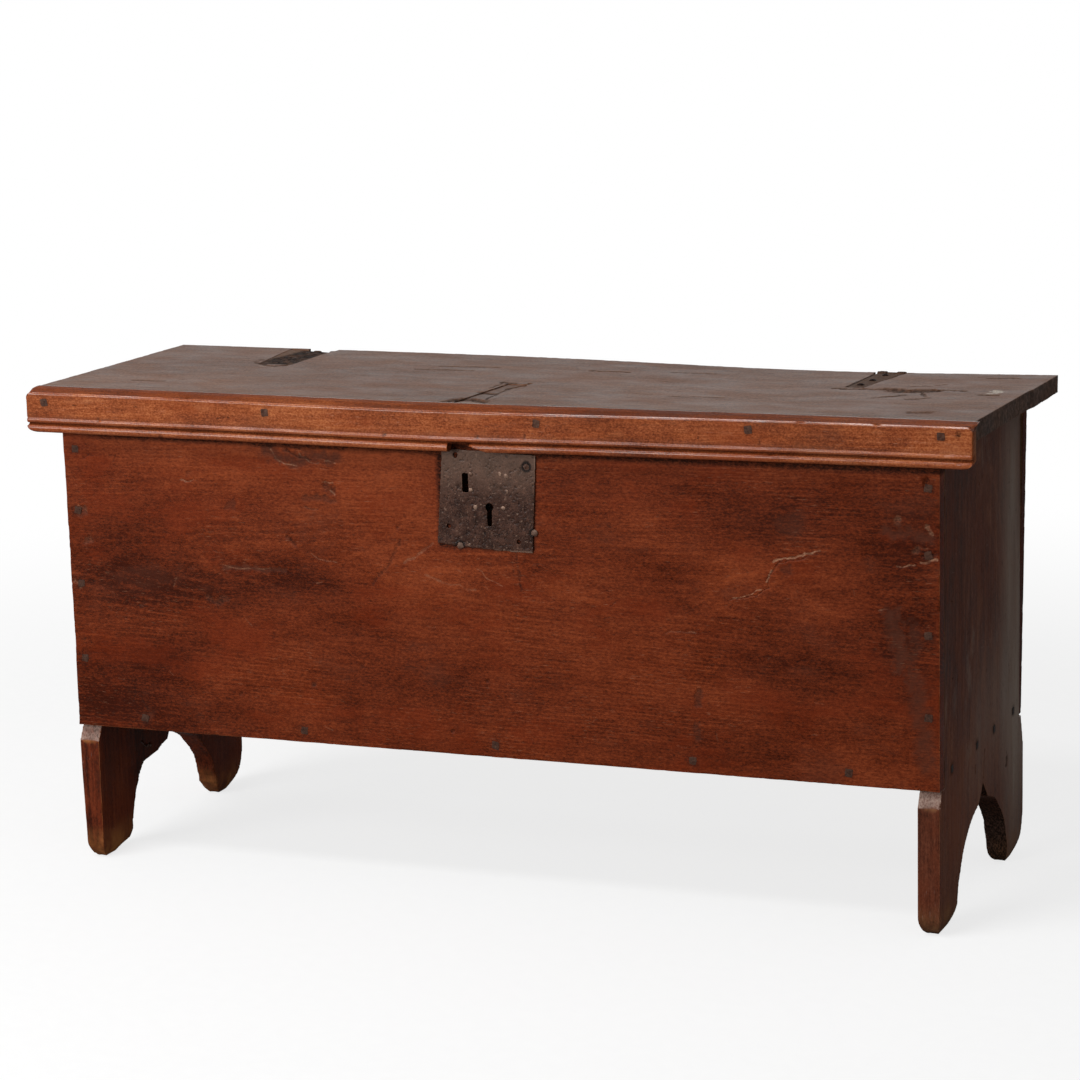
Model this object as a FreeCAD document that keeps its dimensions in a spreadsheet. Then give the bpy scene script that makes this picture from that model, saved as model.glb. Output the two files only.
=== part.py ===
import FreeCAD, Part
import math
import os
import re
import Sketcher

# Six-board blanket chest: X along the chest, -Y to the front, +Z up, millimetres.
# The origin lies on the floor, in the middle of the whole chest's box.

# Driving sizes, one cell each
SIZES = {
    # carcase
    "chest_height": 560,
    "carcase_length": 1038,
    "carcase_depth": 366,
    "clear_height": 162,
    "front_thick": 20,
    "back_thick": 18,
    "end_thick": 25,
    "bottom_thick": 22,
    "bottom_lift": 3,
    "housing_depth": 8,
    # feet of the end boards
    "foot_width": 68.3,
    "arch_height": 106.5,
    "peak_width": 38,
    "peak_rise": 21,
    "toe_round": 8,
    "instep_round": 10,
    "heel_rise": 46,
    "heel_run": 34,
    "heel_radius": 60,
    "front_shoulder_depth": 10,
    "front_shoulder_rise": 19,
    "back_shoulder_depth": 11,
    "back_shoulder_rise": 37,
    # lid and its moulding
    "lid_thick": 22,
    "lid_overhang": 39,
    "lid_play": 0.5,
    "moulding_thick": 17,
    "moulding_height": 44,
    "bead_height": 8,
    "bead_flat": 0.2,
    "bead_setback": 3.8,
    "quirk_height": 2,
    "quirk_depth": 2,
    "reed_height": 5,
    "reed_setback": 2.8,
    "fascia_step": 1.2,
    "nose_radius": 12,
    "hasp_notch_width": 24,
    "hasp_notch_height": 9,
    "hasp_across": -20,
    "hasp_bed_width": 40,
    "hasp_bed_tip_width": 25,
    "hasp_bed_length": 160,
    "hasp_bed_skew": 2,
    "hasp_bed_depth": 1.2,
    "hasp_seat_length": 17,
    "hasp_seat_depth": 3,
    # strap hinges
    "strap_inner_reach": 16,
    "left_strap_root_reach": 42,
    "left_strap_tip_reach": 26,
    "right_strap_root_reach": 16,
    "right_strap_tip_reach": 4,
    "strap_length": 125,
    "strap_thick": 3,
    "strap_sunk": 2.4,
    "strap_play": 0.3,
    "hinge_notch_width": 38,
    "hinge_notch_depth": 12,
    "knuckle_radius": 6,
    "knuckle_length": 12,
    "knuckle_gap": 0.3,
    "knuckle_clearance": 1.5,
    "pin_radius": 3,
    "pin_play": 0.08,
    "pin_head_radius": 4.4,
    "pin_head_height": 1.8,
    "hinge_plate_width": 31,
    "hinge_plate_tip_width": 22,
    "hinge_plate_length": 105,
    "hinge_plate_thick": 3,
    # lock
    "plate_across": 7,
    "plate_drop": 85,
    "plate_width": 114,
    "plate_height": 106,
    "plate_thick": 2,
    "plate_bow_radius": 1600,
    "slot_across": -25,
    "slot_level": 19.5,
    "slot_width": 7,
    "slot_height": 21,
    "keyhole_across": 3,
    "keyhole_level": -7,
    "keyhole_radius": 4.5,
    "keyhole_width": 5,
    "keyhole_drop": 21,
    "empty_hole_radius": 2.4,
    "bolt_level": 20.5,
    "bolt_height": 8,
    "bolt_thick": 4,
    "bolt_length": 60,
    "bolt_play": 0.3,
    "bolt_throw": 9,
    "talon_width": 3,
    "talon_drop": 7.5,
    "guide_width": 6,
    "strip_thick": 1.5,
    "strip_foot": 6,
    "bridge_span": 24,
    "bridge_stand": 9,
    "bridge_width": 10,
    "bridge_bore": 3.5,
    "spring_foot": 8,
    "spring_rise": 6.5,
    "spring_reach": 20,
    "spring_thick": 1,
    "spring_width": 3,
    "spring_radius": 32,
    "rivet_radius": 1.5,
    "rivet_head_radius": 2.6,
    "rivet_head_height": 0.8,
    "rivet_play": 0.05,
    "mortise_margin": 6,
    # wrought nails
    "nail_head": 8.4,
    "nail_head_top": 4.4,
    "nail_head_proud": 0.6,
    "nail_head_sunk": 0.9,
    "nail_shank": 3.6,
    "nail_tip": 1.2,
    "board_nail_length": 50,
    "moulding_nail_length": 34,
    "small_nail_head": 6,
    "small_nail_length": 15,
    # overrun of every cut
    "overrun": 5,
}

# Middles of the two hinges, as shares of the lid's length
HINGE_SHARES = {"left": -0.321, "right": 0.325}

# Way from the lid's middle to each hinge, on which its strap's outer edge lies
OUTWARD = {"left": -1, "right": 1}

# Places that several pieces share, worked out from the driving sizes
PLACES = {
    "moulding_reach": "lid_play + moulding_thick",
    "hinge_reach": "hinge_plate_thick / 2 + knuckle_radius",
    "carcase_middle": "(moulding_reach - hinge_reach) / 2",
    "front_face": "carcase_middle - carcase_depth / 2",
    "back_face": "carcase_middle + carcase_depth / 2",
    "end_face": "carcase_length / 2",
    "lid_underside": "chest_height - lid_thick",
    "board_rise": "lid_underside - clear_height",
    "bottom_underside": "clear_height + bottom_lift",
    "bottom_middle": "bottom_underside + bottom_thick / 2",
    "lid_length": "carcase_length + 2 * lid_overhang",
    "lid_front": "front_face - lid_play",
    "lid_depth": "carcase_depth + lid_play",
    "arch_half": "carcase_depth / 2 - foot_width",
    "arch_radius": "(arch_half ^ 2 + arch_height ^ 2) / (2 * arch_height)",
    "arch_level": "arch_height - arch_radius",
    "arch_spring": "sqrt(arch_radius ^ 2 - (instep_round - arch_level) ^ 2)",
    "arch_crown": "arch_level + sqrt(arch_radius ^ 2 - peak_width ^ 2 / 4)",
    "bead_radius": "bead_height / 2 + bead_flat",
    "reed_radius": "reed_height / 2 + bead_flat",
    "quirk_foot": "bead_height + quirk_height",
    "reed_top": "quirk_foot + reed_height",
    "left_hinge_across": f"{HINGE_SHARES['left']} * lid_length",
    "right_hinge_across": f"{HINGE_SHARES['right']} * lid_length",
    "pin_across": "back_face + hinge_plate_thick / 2",
    "pin_level": "chest_height - strap_sunk - knuckle_radius",
    "strap_root": "knuckle_radius + knuckle_clearance",
    "ear_start": "knuckle_length / 2 + knuckle_gap",
    "ear_length": "hinge_plate_width / 2 - ear_start",
    "plate_level": "lid_underside - plate_drop",
    "bolt_tip": "slot_across + slot_width / 2 + bolt_play",
    "left_guide_across": "bolt_tip + guide_width / 2",
    "right_guide_across": "bolt_tip + bolt_length - bolt_throw - guide_width",
    "talon_gap": "2 * (keyhole_across - talon_width - bolt_throw - bolt_play - bolt_tip - guide_width)",
    "spring_across": "right_guide_across - guide_width / 2 - bolt_play - spring_foot / 2",
    "spring_level": "bolt_level + bolt_height / 2 + spring_rise",
    "guide_span": "bolt_height + 2 * bolt_play",
    "guide_stand": "bolt_thick + 2 * bolt_play",
    "guide_rivet_rise": "guide_span / 2 + strip_thick + strip_foot / 2",
    "bridge_rivet_run": "bridge_span / 2 + strip_thick + strip_foot / 2",
    "mortise_left": "bolt_tip - slot_width - 2 * mortise_margin",
    "mortise_right": "bolt_tip + bolt_length + mortise_margin",
    "mortise_floor": "keyhole_level - keyhole_drop - mortise_margin",
    "mortise_depth": "bridge_stand + strip_thick + bolt_play",
    "mortise_top": "spring_level + spring_foot / 2 + rivet_head_height",
}

# Places of nails, as shares of the length, depth or height that they follow
BOTTOM_ROW_SHARES = (-0.415, -0.218, 0.009, 0.233, 0.403)
EDGE_COLUMN_SHARES = (0.215, 0.452, 0.681, 0.872)
END_ROW_SHARES = (-0.366, -0.077, 0.128, 0.366)
MOULDING_ROW_SHARES = (-0.479, -0.227, 0.066, 0.282, 0.47)
MOULDING_NAIL_SHARE = 0.45
STRAP_NAIL_SHARES = (0.14, 0.5, 0.82)
HINGE_PLATE_NAIL_SHARES = (0.36, 0.62, 0.86)

# Outline and fixings of the lock plate, as shares of its width and height
PLATE_CORNER_SHARES = ((-0.53, -0.47), (0.47, -0.53), (0.52, 0.48), (-0.46, 0.51))
PLATE_NAIL_SHARES = ((0.42, 0.377), (0.484, -0.311), (-0.29, -0.48))
EMPTY_HOLE_SHARES = ((-0.316, 0.453), (-0.404, -0.283), (0.325, -0.415))

# Nails are drawn along +Y, head to the front, and turned to where they are driven
TO_BACK = FreeCAD.Rotation()
TO_FRONT = FreeCAD.Rotation(FreeCAD.Vector(0, 0, 1), 180)
TO_LEFT = FreeCAD.Rotation(FreeCAD.Vector(0, 0, 1), 90)
TO_RIGHT = FreeCAD.Rotation(FreeCAD.Vector(0, 0, 1), -90)
DOWNWARD = FreeCAD.Rotation(FreeCAD.Vector(1, 0, 0), -90)
# Turned pieces are drawn along +X and cylinders along +Z
X_TO_BACK = FreeCAD.Rotation(FreeCAD.Vector(0, 0, 1), 90)
Z_TO_BACK = FreeCAD.Rotation(FreeCAD.Vector(1, 0, 0), -90)

doc = FreeCAD.newDocument("BlanketChest")
sheet = doc.addObject("Spreadsheet::Sheet", "Sizes")
for row, (alias, size) in enumerate(SIZES.items(), start=1):
    sheet.set(f"A{row}", alias)
    sheet.set(f"B{row}", str(size))
    sheet.setAlias(f"B{row}", alias)
doc.recompute()


def formula(words):
    """Expression on the sheet for a sum written in size and place names."""
    def spelled(match):
        name = match.group()
        if name in PLACES:
            return f"({formula(PLACES[name])})"
        return f"Sizes.{name}" if name in SIZES else name
    return re.sub(r"[a-z]\w*", spelled, words)


def number(words):
    """Present value of such a sum."""
    return float(sheet.evalExpression(formula(words)))


def bind(thing, **sums):
    """Ties properties of an object to sums of sizes."""
    for prop, words in sums.items():
        thing.setExpression(prop, formula(words))
    return thing


def place(thing, across="0", back="0", up="0", turn=None):
    """Ties an object's place to sums of sizes, after turning it."""
    if turn is not None:
        thing.Placement = FreeCAD.Placement(FreeCAD.Vector(), turn)
    for axis, words in zip("xyz", (across, back, up)):
        thing.setExpression(f"Placement.Base.{axis}", formula(words))
    return thing


def new_body(label, across="0", back="0", up="0"):
    body = doc.addObject("PartDesign::Body", label)
    body.Label = label
    return place(body, across, back, up)


def new_sketch(body, role, lift="0"):
    """Sketch on one of the body's own origin planes, lifted along the plane's normal."""
    plane = next(item for item in body.Origin.OriginFeatures if item.Role == role)
    sketch = body.newObject("Sketcher::SketchObject", body.Name + "Sketch")
    sketch.AttachmentSupport = [(plane, "")]
    sketch.MapMode = "FlatFace"
    sketch.setExpression("AttachmentOffset.Base.z", formula(lift))
    return sketch


def arc_between(start, end, radius, side):
    """Arc under a half circle that bulges to the left (side 1) or right (side -1) of its chord."""
    chord = end - start
    inward = FreeCAD.Vector(chord.y, -chord.x, 0).normalize() * side
    middle = (start + end) / 2 + inward * math.sqrt(radius ** 2 - (chord.Length / 2) ** 2)
    first, last = (end, start) if side > 0 else (start, end)
    angles = [math.atan2(point.y - middle.y, point.x - middle.x) for point in (first, last)]
    return Part.ArcOfCircle(Part.Circle(middle, FreeCAD.Vector(0, 0, 1), radius), *angles)


def outline(sketch, corners, arcs=None):
    """Closed outline through corners given as sums; arcs are edge number to (radius, side)."""
    arcs = arcs or {}
    points = [FreeCAD.Vector(number(x), number(y), 0) for x, y in corners]
    count = len(points)
    first = sketch.GeometryCount
    for i, start in enumerate(points):
        end = points[(i + 1) % count]
        if i in arcs:
            radius, side = arcs[i]
            sketch.addGeometry(arc_between(start, end, number(radius), side), False)
        else:
            sketch.addGeometry(Part.LineSegment(start, end), False)
    # An arc is stored counter-clockwise, so one that bulges left has its ends exchanged
    starts = {i: 2 if i in arcs and arcs[i][1] > 0 else 1 for i in range(count)}
    for i in range(count):
        after = (i + 1) % count
        ends = (first + i, 3 - starts[i], first + after, starts[after])
        sketch.addConstraint(Sketcher.Constraint("Coincident", *ends))
    for i, corner in enumerate(corners):
        for kind, words, value in zip(("DistanceX", "DistanceY"), corner, points[i]):
            datum = Sketcher.Constraint(kind, -1, 1, first + i, starts[i], value)
            index = sketch.addConstraint(datum)
            sketch.setExpression(f"Constraints[{index}]", formula(words))
    for i in arcs:
        radius = arcs[i][0]
        index = sketch.addConstraint(Sketcher.Constraint("Radius", first + i, number(radius)))
        sketch.setExpression(f"Constraints[{index}]", formula(radius))
    return sketch


def circle(sketch, x, y, radius):
    """Circle whose middle and radius are sums of sizes."""
    middle = FreeCAD.Vector(number(x), number(y), 0)
    edge = sketch.addGeometry(Part.Circle(middle, FreeCAD.Vector(0, 0, 1), number(radius)), False)
    index = sketch.addConstraint(Sketcher.Constraint("Radius", edge, number(radius)))
    sketch.setExpression(f"Constraints[{index}]", formula(radius))
    for kind, words, value in (("DistanceX", x, middle.x), ("DistanceY", y, middle.y)):
        index = sketch.addConstraint(Sketcher.Constraint(kind, -1, 1, edge, 3, value))
        sketch.setExpression(f"Constraints[{index}]", formula(words))
    return sketch


def rectangle(left, right, low, high):
    return [(left, low), (right, low), (right, high), (left, high)]


def pad(body, sketch, length, reverse=False):
    feature = body.newObject("PartDesign::Pad", body.Name + "Pad")
    feature.Profile = sketch
    feature.Reversed = reverse
    return bind(feature, Length=length)


def pocket(body, sketch, depth, reverse=False):
    feature = body.newObject("PartDesign::Pocket", body.Name + "Pocket")
    feature.Profile = sketch
    feature.Reversed = reverse
    return bind(feature, Length=depth)


def box(label, length, depth, rise, across, back, up):
    block = doc.addObject("Part::Box", label)
    block.Label = label
    bind(block, Length=length, Width=depth, Height=rise)
    return place(block, across, back, up)


def together(label, pieces):
    group = doc.addObject("Part::Compound", label)
    group.Label = label
    group.Links = pieces
    return group


def cut(label, base, *tools):
    """Sub-part that is its blank less the pieces that are let into it."""
    part = doc.addObject("Part::Cut", label)
    part.Label = label
    part.Base = base
    part.Tool = tools[0] if len(tools) == 1 else together(label + "_cuts", list(tools))
    return part


def nail(label, head, length):
    """Tapered square shank under a low four-sided head."""
    shank = doc.addObject("Part::Wedge", label + "_shank")
    bind(shank, Xmin="-nail_shank / 2", Xmax="nail_shank / 2", Zmin="-nail_shank / 2", Zmax="nail_shank / 2",
         X2min="-nail_tip / 2", X2max="nail_tip / 2", Z2min="-nail_tip / 2", Z2max="nail_tip / 2",
         Ymin="0", Ymax=length)
    crown = doc.addObject("Part::Wedge", label + "_crown")
    bind(crown, Xmin="-nail_head_top / 2", Xmax="nail_head_top / 2",
         Zmin="-nail_head_top / 2", Zmax="nail_head_top / 2",
         X2min=f"-{head} / 2", X2max=f"{head} / 2", Z2min=f"-{head} / 2", Z2max=f"{head} / 2",
         Ymin="-nail_head_proud", Ymax="0")
    seat = doc.addObject("Part::Wedge", label + "_seat")
    bind(seat, Xmin=f"-{head} / 2", Xmax=f"{head} / 2", Zmin=f"-{head} / 2", Zmax=f"{head} / 2",
         X2min="-nail_shank / 2", X2max="nail_shank / 2", Z2min="-nail_shank / 2", Z2max="nail_shank / 2",
         Ymin="0", Ymax="nail_head_sunk")
    whole = doc.addObject("Part::MultiFuse", label)
    whole.Shapes = [shank, crown, seat]
    return whole


def copies(label, pattern, places, turn=None):
    """Group of separate copies of one fastener; places are (across, back, up) sums."""
    links = []
    for spot in places:
        link = doc.addObject("App::Link", label + "_copy")
        link.LinkedObject = pattern
        links.append(place(link, *spot, turn=turn))
    return together(label, links)


board_nail = nail("board_nail", "nail_head", "board_nail_length")
moulding_nail = nail("moulding_nail", "nail_head", "moulding_nail_length")
small_nail = nail("small_nail", "small_nail_head", "small_nail_length")


def board_nail_places(face):
    """Nails of the front or back board: a column into each end board, a row into the bottom."""
    columns = [(f"{side} * (end_face - end_thick / 2)", face, f"clear_height + {share} * board_rise")
               for side in (-1, 1) for share in EDGE_COLUMN_SHARES]
    row = [(f"{share} * carcase_length", face, "bottom_middle") for share in BOTTOM_ROW_SHARES]
    return columns + row


def end_nail_places(face):
    return [(face, f"carcase_middle + {share} * carcase_depth", "bottom_middle") for share in END_ROW_SHARES]


def moulding_nail_places():
    level = f"lid_underside + {MOULDING_NAIL_SHARE} * lid_thick"
    return [(f"{share} * lid_length", "lid_front - moulding_thick", level) for share in MOULDING_ROW_SHARES]


def strap_nail_places(side):
    """Places along the middle of a hinge strap, between its straight and its slanted edge."""
    places = []
    for share in STRAP_NAIL_SHARES:
        reach = f"({side}_strap_root_reach * (1 - {share}) + {side}_strap_tip_reach * {share})"
        across = f"{side}_hinge_across + {OUTWARD[side]} * ({reach} - strap_inner_reach) / 2"
        along = f"pin_across - strap_root - {share} * strap_length"
        places.append((across, along, "chest_height - strap_sunk"))
    return places


def hinge_plate_nail_places(hinge):
    return [(hinge, "back_face + hinge_plate_thick", f"pin_level - {share} * hinge_plate_length")
            for share in HINGE_PLATE_NAIL_SHARES]


def on_plate(x, y):
    """Place on the lock plate's front face, from the plate's middle."""
    return (f"plate_across + {x}", "front_face - plate_thick", f"plate_level + {y}")


def plate_nail_places():
    return [on_plate(f"{x} * plate_width", f"{y} * plate_height") for x, y in PLATE_NAIL_SHARES]


def rivet_places():
    guides = [on_plate(across, f"bolt_level {rise} guide_rivet_rise")
              for across in ("left_guide_across", "right_guide_across") for rise in "-+"]
    bridge = [on_plate(f"keyhole_across {run} bridge_rivet_run", "keyhole_level") for run in "-+"]
    return guides + bridge + [on_plate("spring_across", "spring_level")]


def end_board_blank(label, across):
    """Upright end board: notched for the front and back boards, arched between its feet."""
    half = "carcase_depth / 2"
    body = new_body(label, across, "carcase_middle")
    corners = [
        (f"-{half}", "toe_round"),
        (f"-{half} + toe_round", "0"),
        ("-arch_spring - instep_round", "0"),
        ("-arch_spring", "instep_round"),
        ("-peak_width / 2", "arch_crown"),
        ("0", "arch_crown + peak_rise"),
        ("peak_width / 2", "arch_crown"),
        ("arch_spring", "instep_round"),
        ("arch_spring + instep_round", "0"),
        (f"{half} - heel_run", "0"),
        (half, "heel_rise"),
        (half, "clear_height - back_shoulder_rise"),
        (f"{half} - back_shoulder_depth", "clear_height"),
        (f"{half} - back_thick", "clear_height"),
        (f"{half} - back_thick", "lid_underside"),
        (f"-{half} + front_thick", "lid_underside"),
        (f"-{half} + front_thick", "clear_height"),
        (f"-{half} + front_shoulder_depth", "clear_height"),
        (f"-{half}", "clear_height - front_shoulder_rise"),
    ]
    arcs = {0: ("toe_round", -1), 2: ("instep_round", -1), 3: ("arch_radius", 1), 6: ("arch_radius", 1),
            7: ("instep_round", -1), 9: ("heel_radius", -1)}
    pad(body, outline(new_sketch(body, "YZ_Plane"), corners, arcs), "end_thick")
    return body


def lid_blank():
    """Lid board with a notch for each hinge's knuckle, beds for the straps and the bed of a lost hasp."""
    body = new_body("lid_blank", "0", "lid_front", "lid_underside")
    floor = "lid_depth - hinge_notch_depth"
    corners = [("-lid_length / 2", "0"), ("lid_length / 2", "0"), ("lid_length / 2", "lid_depth")]
    for hinge in ("right_hinge_across", "left_hinge_across"):
        left = f"{hinge} - hinge_notch_width / 2"
        right = f"{hinge} + hinge_notch_width / 2"
        corners += [(right, "lid_depth"), (right, floor), (left, floor), (left, "lid_depth")]
    corners.append(("-lid_length / 2", "lid_depth"))
    pad(body, outline(new_sketch(body, "XY_Plane"), corners), "lid_thick")
    beds = new_sketch(body, "XY_Plane", "lid_thick")
    for side in OUTWARD:
        outline(beds, strap_corners(side, f"{side}_hinge_across", "pin_across - strap_root - lid_front",
                                    "strap_play"))
    pocket(body, beds, "strap_thick + strap_sunk")
    tip_middle = "hasp_across + hasp_bed_skew"
    bed = [("hasp_across - hasp_bed_width / 2", "0"), ("hasp_across + hasp_bed_width / 2", "0"),
           (f"{tip_middle} + hasp_bed_tip_width / 2", "hasp_bed_length"),
           (f"{tip_middle} - hasp_bed_tip_width / 2", "hasp_bed_length")]
    pocket(body, outline(new_sketch(body, "XY_Plane", "lid_thick"), bed), "hasp_bed_depth")
    seat = rectangle("hasp_across - hasp_bed_width / 2", "hasp_across + hasp_bed_width / 2",
                     "0", "hasp_seat_length")
    pocket(body, outline(new_sketch(body, "XY_Plane", "lid_thick"), seat), "hasp_seat_depth")
    return body


def strap_corners(side, middle, root, play):
    """Plan of a hinge strap's flat: straight along its inner edge, tapered along its outer one."""
    out = OUTWARD[side]
    inner = f"{middle} - {out} * (strap_inner_reach + {play})"
    outer_root = f"{middle} + {out} * ({side}_strap_root_reach + {play})"
    outer_tip = f"{middle} + {out} * ({side}_strap_tip_reach + {play})"
    back = f"{root} + {play}"
    tip = f"{root} - strap_length - {play}"
    return [(inner, back), (inner, tip), (outer_tip, tip), (outer_root, back)]


def moulding_blank():
    """Strip along the lid's front edge: bead, quirk, reed, flat fascia and rounded nose."""
    body = new_body("moulding_blank", "-lid_length / 2", "lid_front", "chest_height - moulding_height")
    face = "-moulding_thick"
    corners = [
        ("0", "0"),
        (f"{face} + bead_setback", "0"),
        (f"{face} + bead_setback", "bead_height"),
        (f"{face} + bead_setback + quirk_depth", "bead_height + quirk_height / 2"),
        (f"{face} + reed_setback", "quirk_foot"),
        (f"{face} + reed_setback", "reed_top"),
        (face, "reed_top + fascia_step"),
        (face, "moulding_height - nose_radius"),
        (f"{face} + nose_radius", "moulding_height"),
        ("0", "moulding_height"),
    ]
    arcs = {1: ("bead_radius", 1), 4: ("reed_radius", 1), 7: ("nose_radius", 1)}
    pad(body, outline(new_sketch(body, "YZ_Plane"), corners, arcs), "lid_length")
    notch = rectangle("lid_length / 2 + hasp_across - hasp_notch_width / 2",
                      "lid_length / 2 + hasp_across + hasp_notch_width / 2", "-overrun", "hasp_notch_height")
    ahead = new_sketch(body, "XZ_Plane", "moulding_thick + overrun")
    pocket(body, outline(ahead, notch), "moulding_thick + 2 * overrun")
    return body


def strap_blank(side):
    """Upper hinge leaf: flat strap, a neck and one knuckle whose top is level with the strap's."""
    body = new_body(f"{side}_strap_blank", f"{side}_hinge_across", "pin_across", "pin_level")
    flat = "knuckle_radius - strap_thick"
    plan = strap_corners(side, "0", "-strap_root", "0")
    pad(body, outline(new_sketch(body, "XY_Plane", flat), plan), "strap_thick")
    neck = rectangle("-knuckle_length / 2", "knuckle_length / 2", "-strap_root", "0")
    pad(body, outline(new_sketch(body, "XY_Plane", flat), neck), "strap_thick")
    knuckle = circle(new_sketch(body, "YZ_Plane", "-knuckle_length / 2"), "0", "0", "knuckle_radius")
    pad(body, knuckle, "knuckle_length")
    bore = circle(new_sketch(body, "YZ_Plane", "-knuckle_length / 2"), "0", "0", "pin_radius + pin_play")
    pocket(body, bore, "knuckle_length", reverse=True)
    return body


def hinge_plate_blank(label, hinge):
    """Lower hinge leaf on the back board: tapered plate, an ear and a knuckle each side of the strap's."""
    body = new_body(label, hinge, "back_face", "pin_level")
    top = "-knuckle_radius - knuckle_clearance"
    plan = [("-hinge_plate_tip_width / 2", "-hinge_plate_length"),
            ("hinge_plate_tip_width / 2", "-hinge_plate_length"),
            ("hinge_plate_width / 2", top), ("-hinge_plate_width / 2", top)]
    pad(body, outline(new_sketch(body, "XZ_Plane"), plan), "hinge_plate_thick", reverse=True)
    for low, high in (("-hinge_plate_width / 2", "-ear_start"), ("ear_start", "hinge_plate_width / 2")):
        ear = rectangle(low, high, top, "0")
        pad(body, outline(new_sketch(body, "XZ_Plane"), ear), "hinge_plate_thick", reverse=True)
        middle = "hinge_plate_thick / 2"
        knuckle = circle(new_sketch(body, "YZ_Plane", low), middle, "0", "knuckle_radius")
        pad(body, knuckle, "ear_length")
        bore = circle(new_sketch(body, "YZ_Plane", low), middle, "0", "pin_radius + pin_play")
        pocket(body, bore, "ear_length", reverse=True)
    return body


def turned(body, corners):
    """Solid turned about the body's own X axis from half a profile."""
    sketch = outline(new_sketch(body, "XY_Plane"), corners)
    feature = body.newObject("PartDesign::Revolution", body.Name + "Turned")
    feature.Profile = sketch
    feature.ReferenceAxis = (sketch, ["H_Axis"])
    feature.Angle = 360
    return body


def hinge_pin(label, hinge):
    """Pin through the three knuckles, peened over at both ends."""
    body = new_body(label, hinge, "pin_across", "pin_level")
    seat = "(hinge_plate_width / 2 + knuckle_gap)"
    end = f"({seat} + pin_head_height)"
    corners = [(f"-{end}", "0"), (f"-{end}", "pin_radius"), (f"-{seat}", "pin_head_radius"),
               (f"-{seat}", "pin_radius"), (seat, "pin_radius"), (seat, "pin_head_radius"),
               (end, "pin_radius"), (end, "0")]
    return turned(body, corners)


def lock_plate_blank():
    """Hammered iron plate, out of square, with a bowed lower edge, a staple slot and a keyhole."""
    body = new_body("lock_plate_blank", "plate_across", "front_face", "plate_level")
    corners = [(f"{x} * plate_width", f"{y} * plate_height") for x, y in PLATE_CORNER_SHARES]
    pad(body, outline(new_sketch(body, "XZ_Plane"), corners, {0: ("plate_bow_radius", -1)}), "plate_thick")
    holes = new_sketch(body, "XZ_Plane")
    outline(holes, rectangle("slot_across - slot_width / 2", "slot_across + slot_width / 2",
                             "slot_level - slot_height / 2", "slot_level + slot_height / 2"))
    for x, y in EMPTY_HOLE_SHARES:
        circle(holes, f"{x} * plate_width", f"{y} * plate_height", "empty_hole_radius")
    left = "keyhole_across - keyhole_width / 2"
    right = "keyhole_across + keyhole_width / 2"
    shoulder = "keyhole_level - sqrt(keyhole_radius ^ 2 - keyhole_width ^ 2 / 4)"
    foot = "keyhole_level - keyhole_drop"
    corners = [(left, shoulder), (left, foot), (right, foot), (right, shoulder),
               ("keyhole_across + keyhole_radius", "keyhole_level"),
               ("keyhole_across", "keyhole_level + keyhole_radius"),
               ("keyhole_across - keyhole_radius", "keyhole_level")]
    outline(holes, corners, {i: ("keyhole_radius", -1) for i in (3, 4, 5, 6)})
    pocket(body, holes, "plate_thick", reverse=True)
    return body


def lock_bolt():
    """Sliding bar with two talons that the key's bit pushes between."""
    body = new_body("lock_bolt", "plate_across", "front_face + bolt_play", "plate_level + bolt_level")
    low = "-bolt_height / 2"
    left = "keyhole_across - talon_gap / 2"
    right = "keyhole_across + talon_gap / 2"
    foot = f"{low} - talon_drop"
    tail = "bolt_tip + bolt_length"
    corners = [("bolt_tip", low), (f"{left} - talon_width", low), (f"{left} - talon_width", foot),
               (left, foot), (left, low), (right, low), (right, foot), (f"{right} + talon_width", foot),
               (f"{right} + talon_width", low), (tail, low), (tail, "bolt_height / 2"),
               ("bolt_tip", "bolt_height / 2")]
    pad(body, outline(new_sketch(body, "XZ_Plane"), corners), "bolt_thick", reverse=True)
    return body


def hat_corners(span, stand):
    """Section of a strip bent over a gap: a foot, a leg, the bridge, a leg and a foot."""
    inner = f"{span} / 2"
    outer = f"{inner} + strip_thick"
    end = f"{outer} + strip_foot"
    top = f"{stand} + strip_thick"
    return [(f"-({end})", "0"), (f"-{inner}", "0"), (f"-{inner}", stand), (inner, stand), (inner, "0"),
            (end, "0"), (end, "strip_thick"), (outer, "strip_thick"), (outer, top), (f"-({outer})", top),
            (f"-({outer})", "strip_thick"), (f"-({end})", "strip_thick")]


def bolt_guide(label, across):
    body = new_body(label, f"plate_across + {across} - guide_width / 2", "front_face",
                    "plate_level + bolt_level")
    section = [(depth, run) for run, depth in hat_corners("guide_span", "guide_stand")]
    pad(body, outline(new_sketch(body, "YZ_Plane"), section), "guide_width")
    return body


def key_bridge_blank():
    """Strip that stands off the plate and carries the key's tip in its bore."""
    body = new_body("key_bridge_blank", "plate_across + keyhole_across", "front_face",
                    "plate_level + keyhole_level - bridge_width / 2")
    section = hat_corners("bridge_span", "bridge_stand")
    pad(body, outline(new_sketch(body, "XY_Plane"), section), "bridge_width")
    bore = circle(new_sketch(body, "XZ_Plane"), "0", "bridge_width / 2", "bridge_bore")
    pocket(body, bore, "bridge_stand + strip_thick + overrun")
    return body


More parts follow.
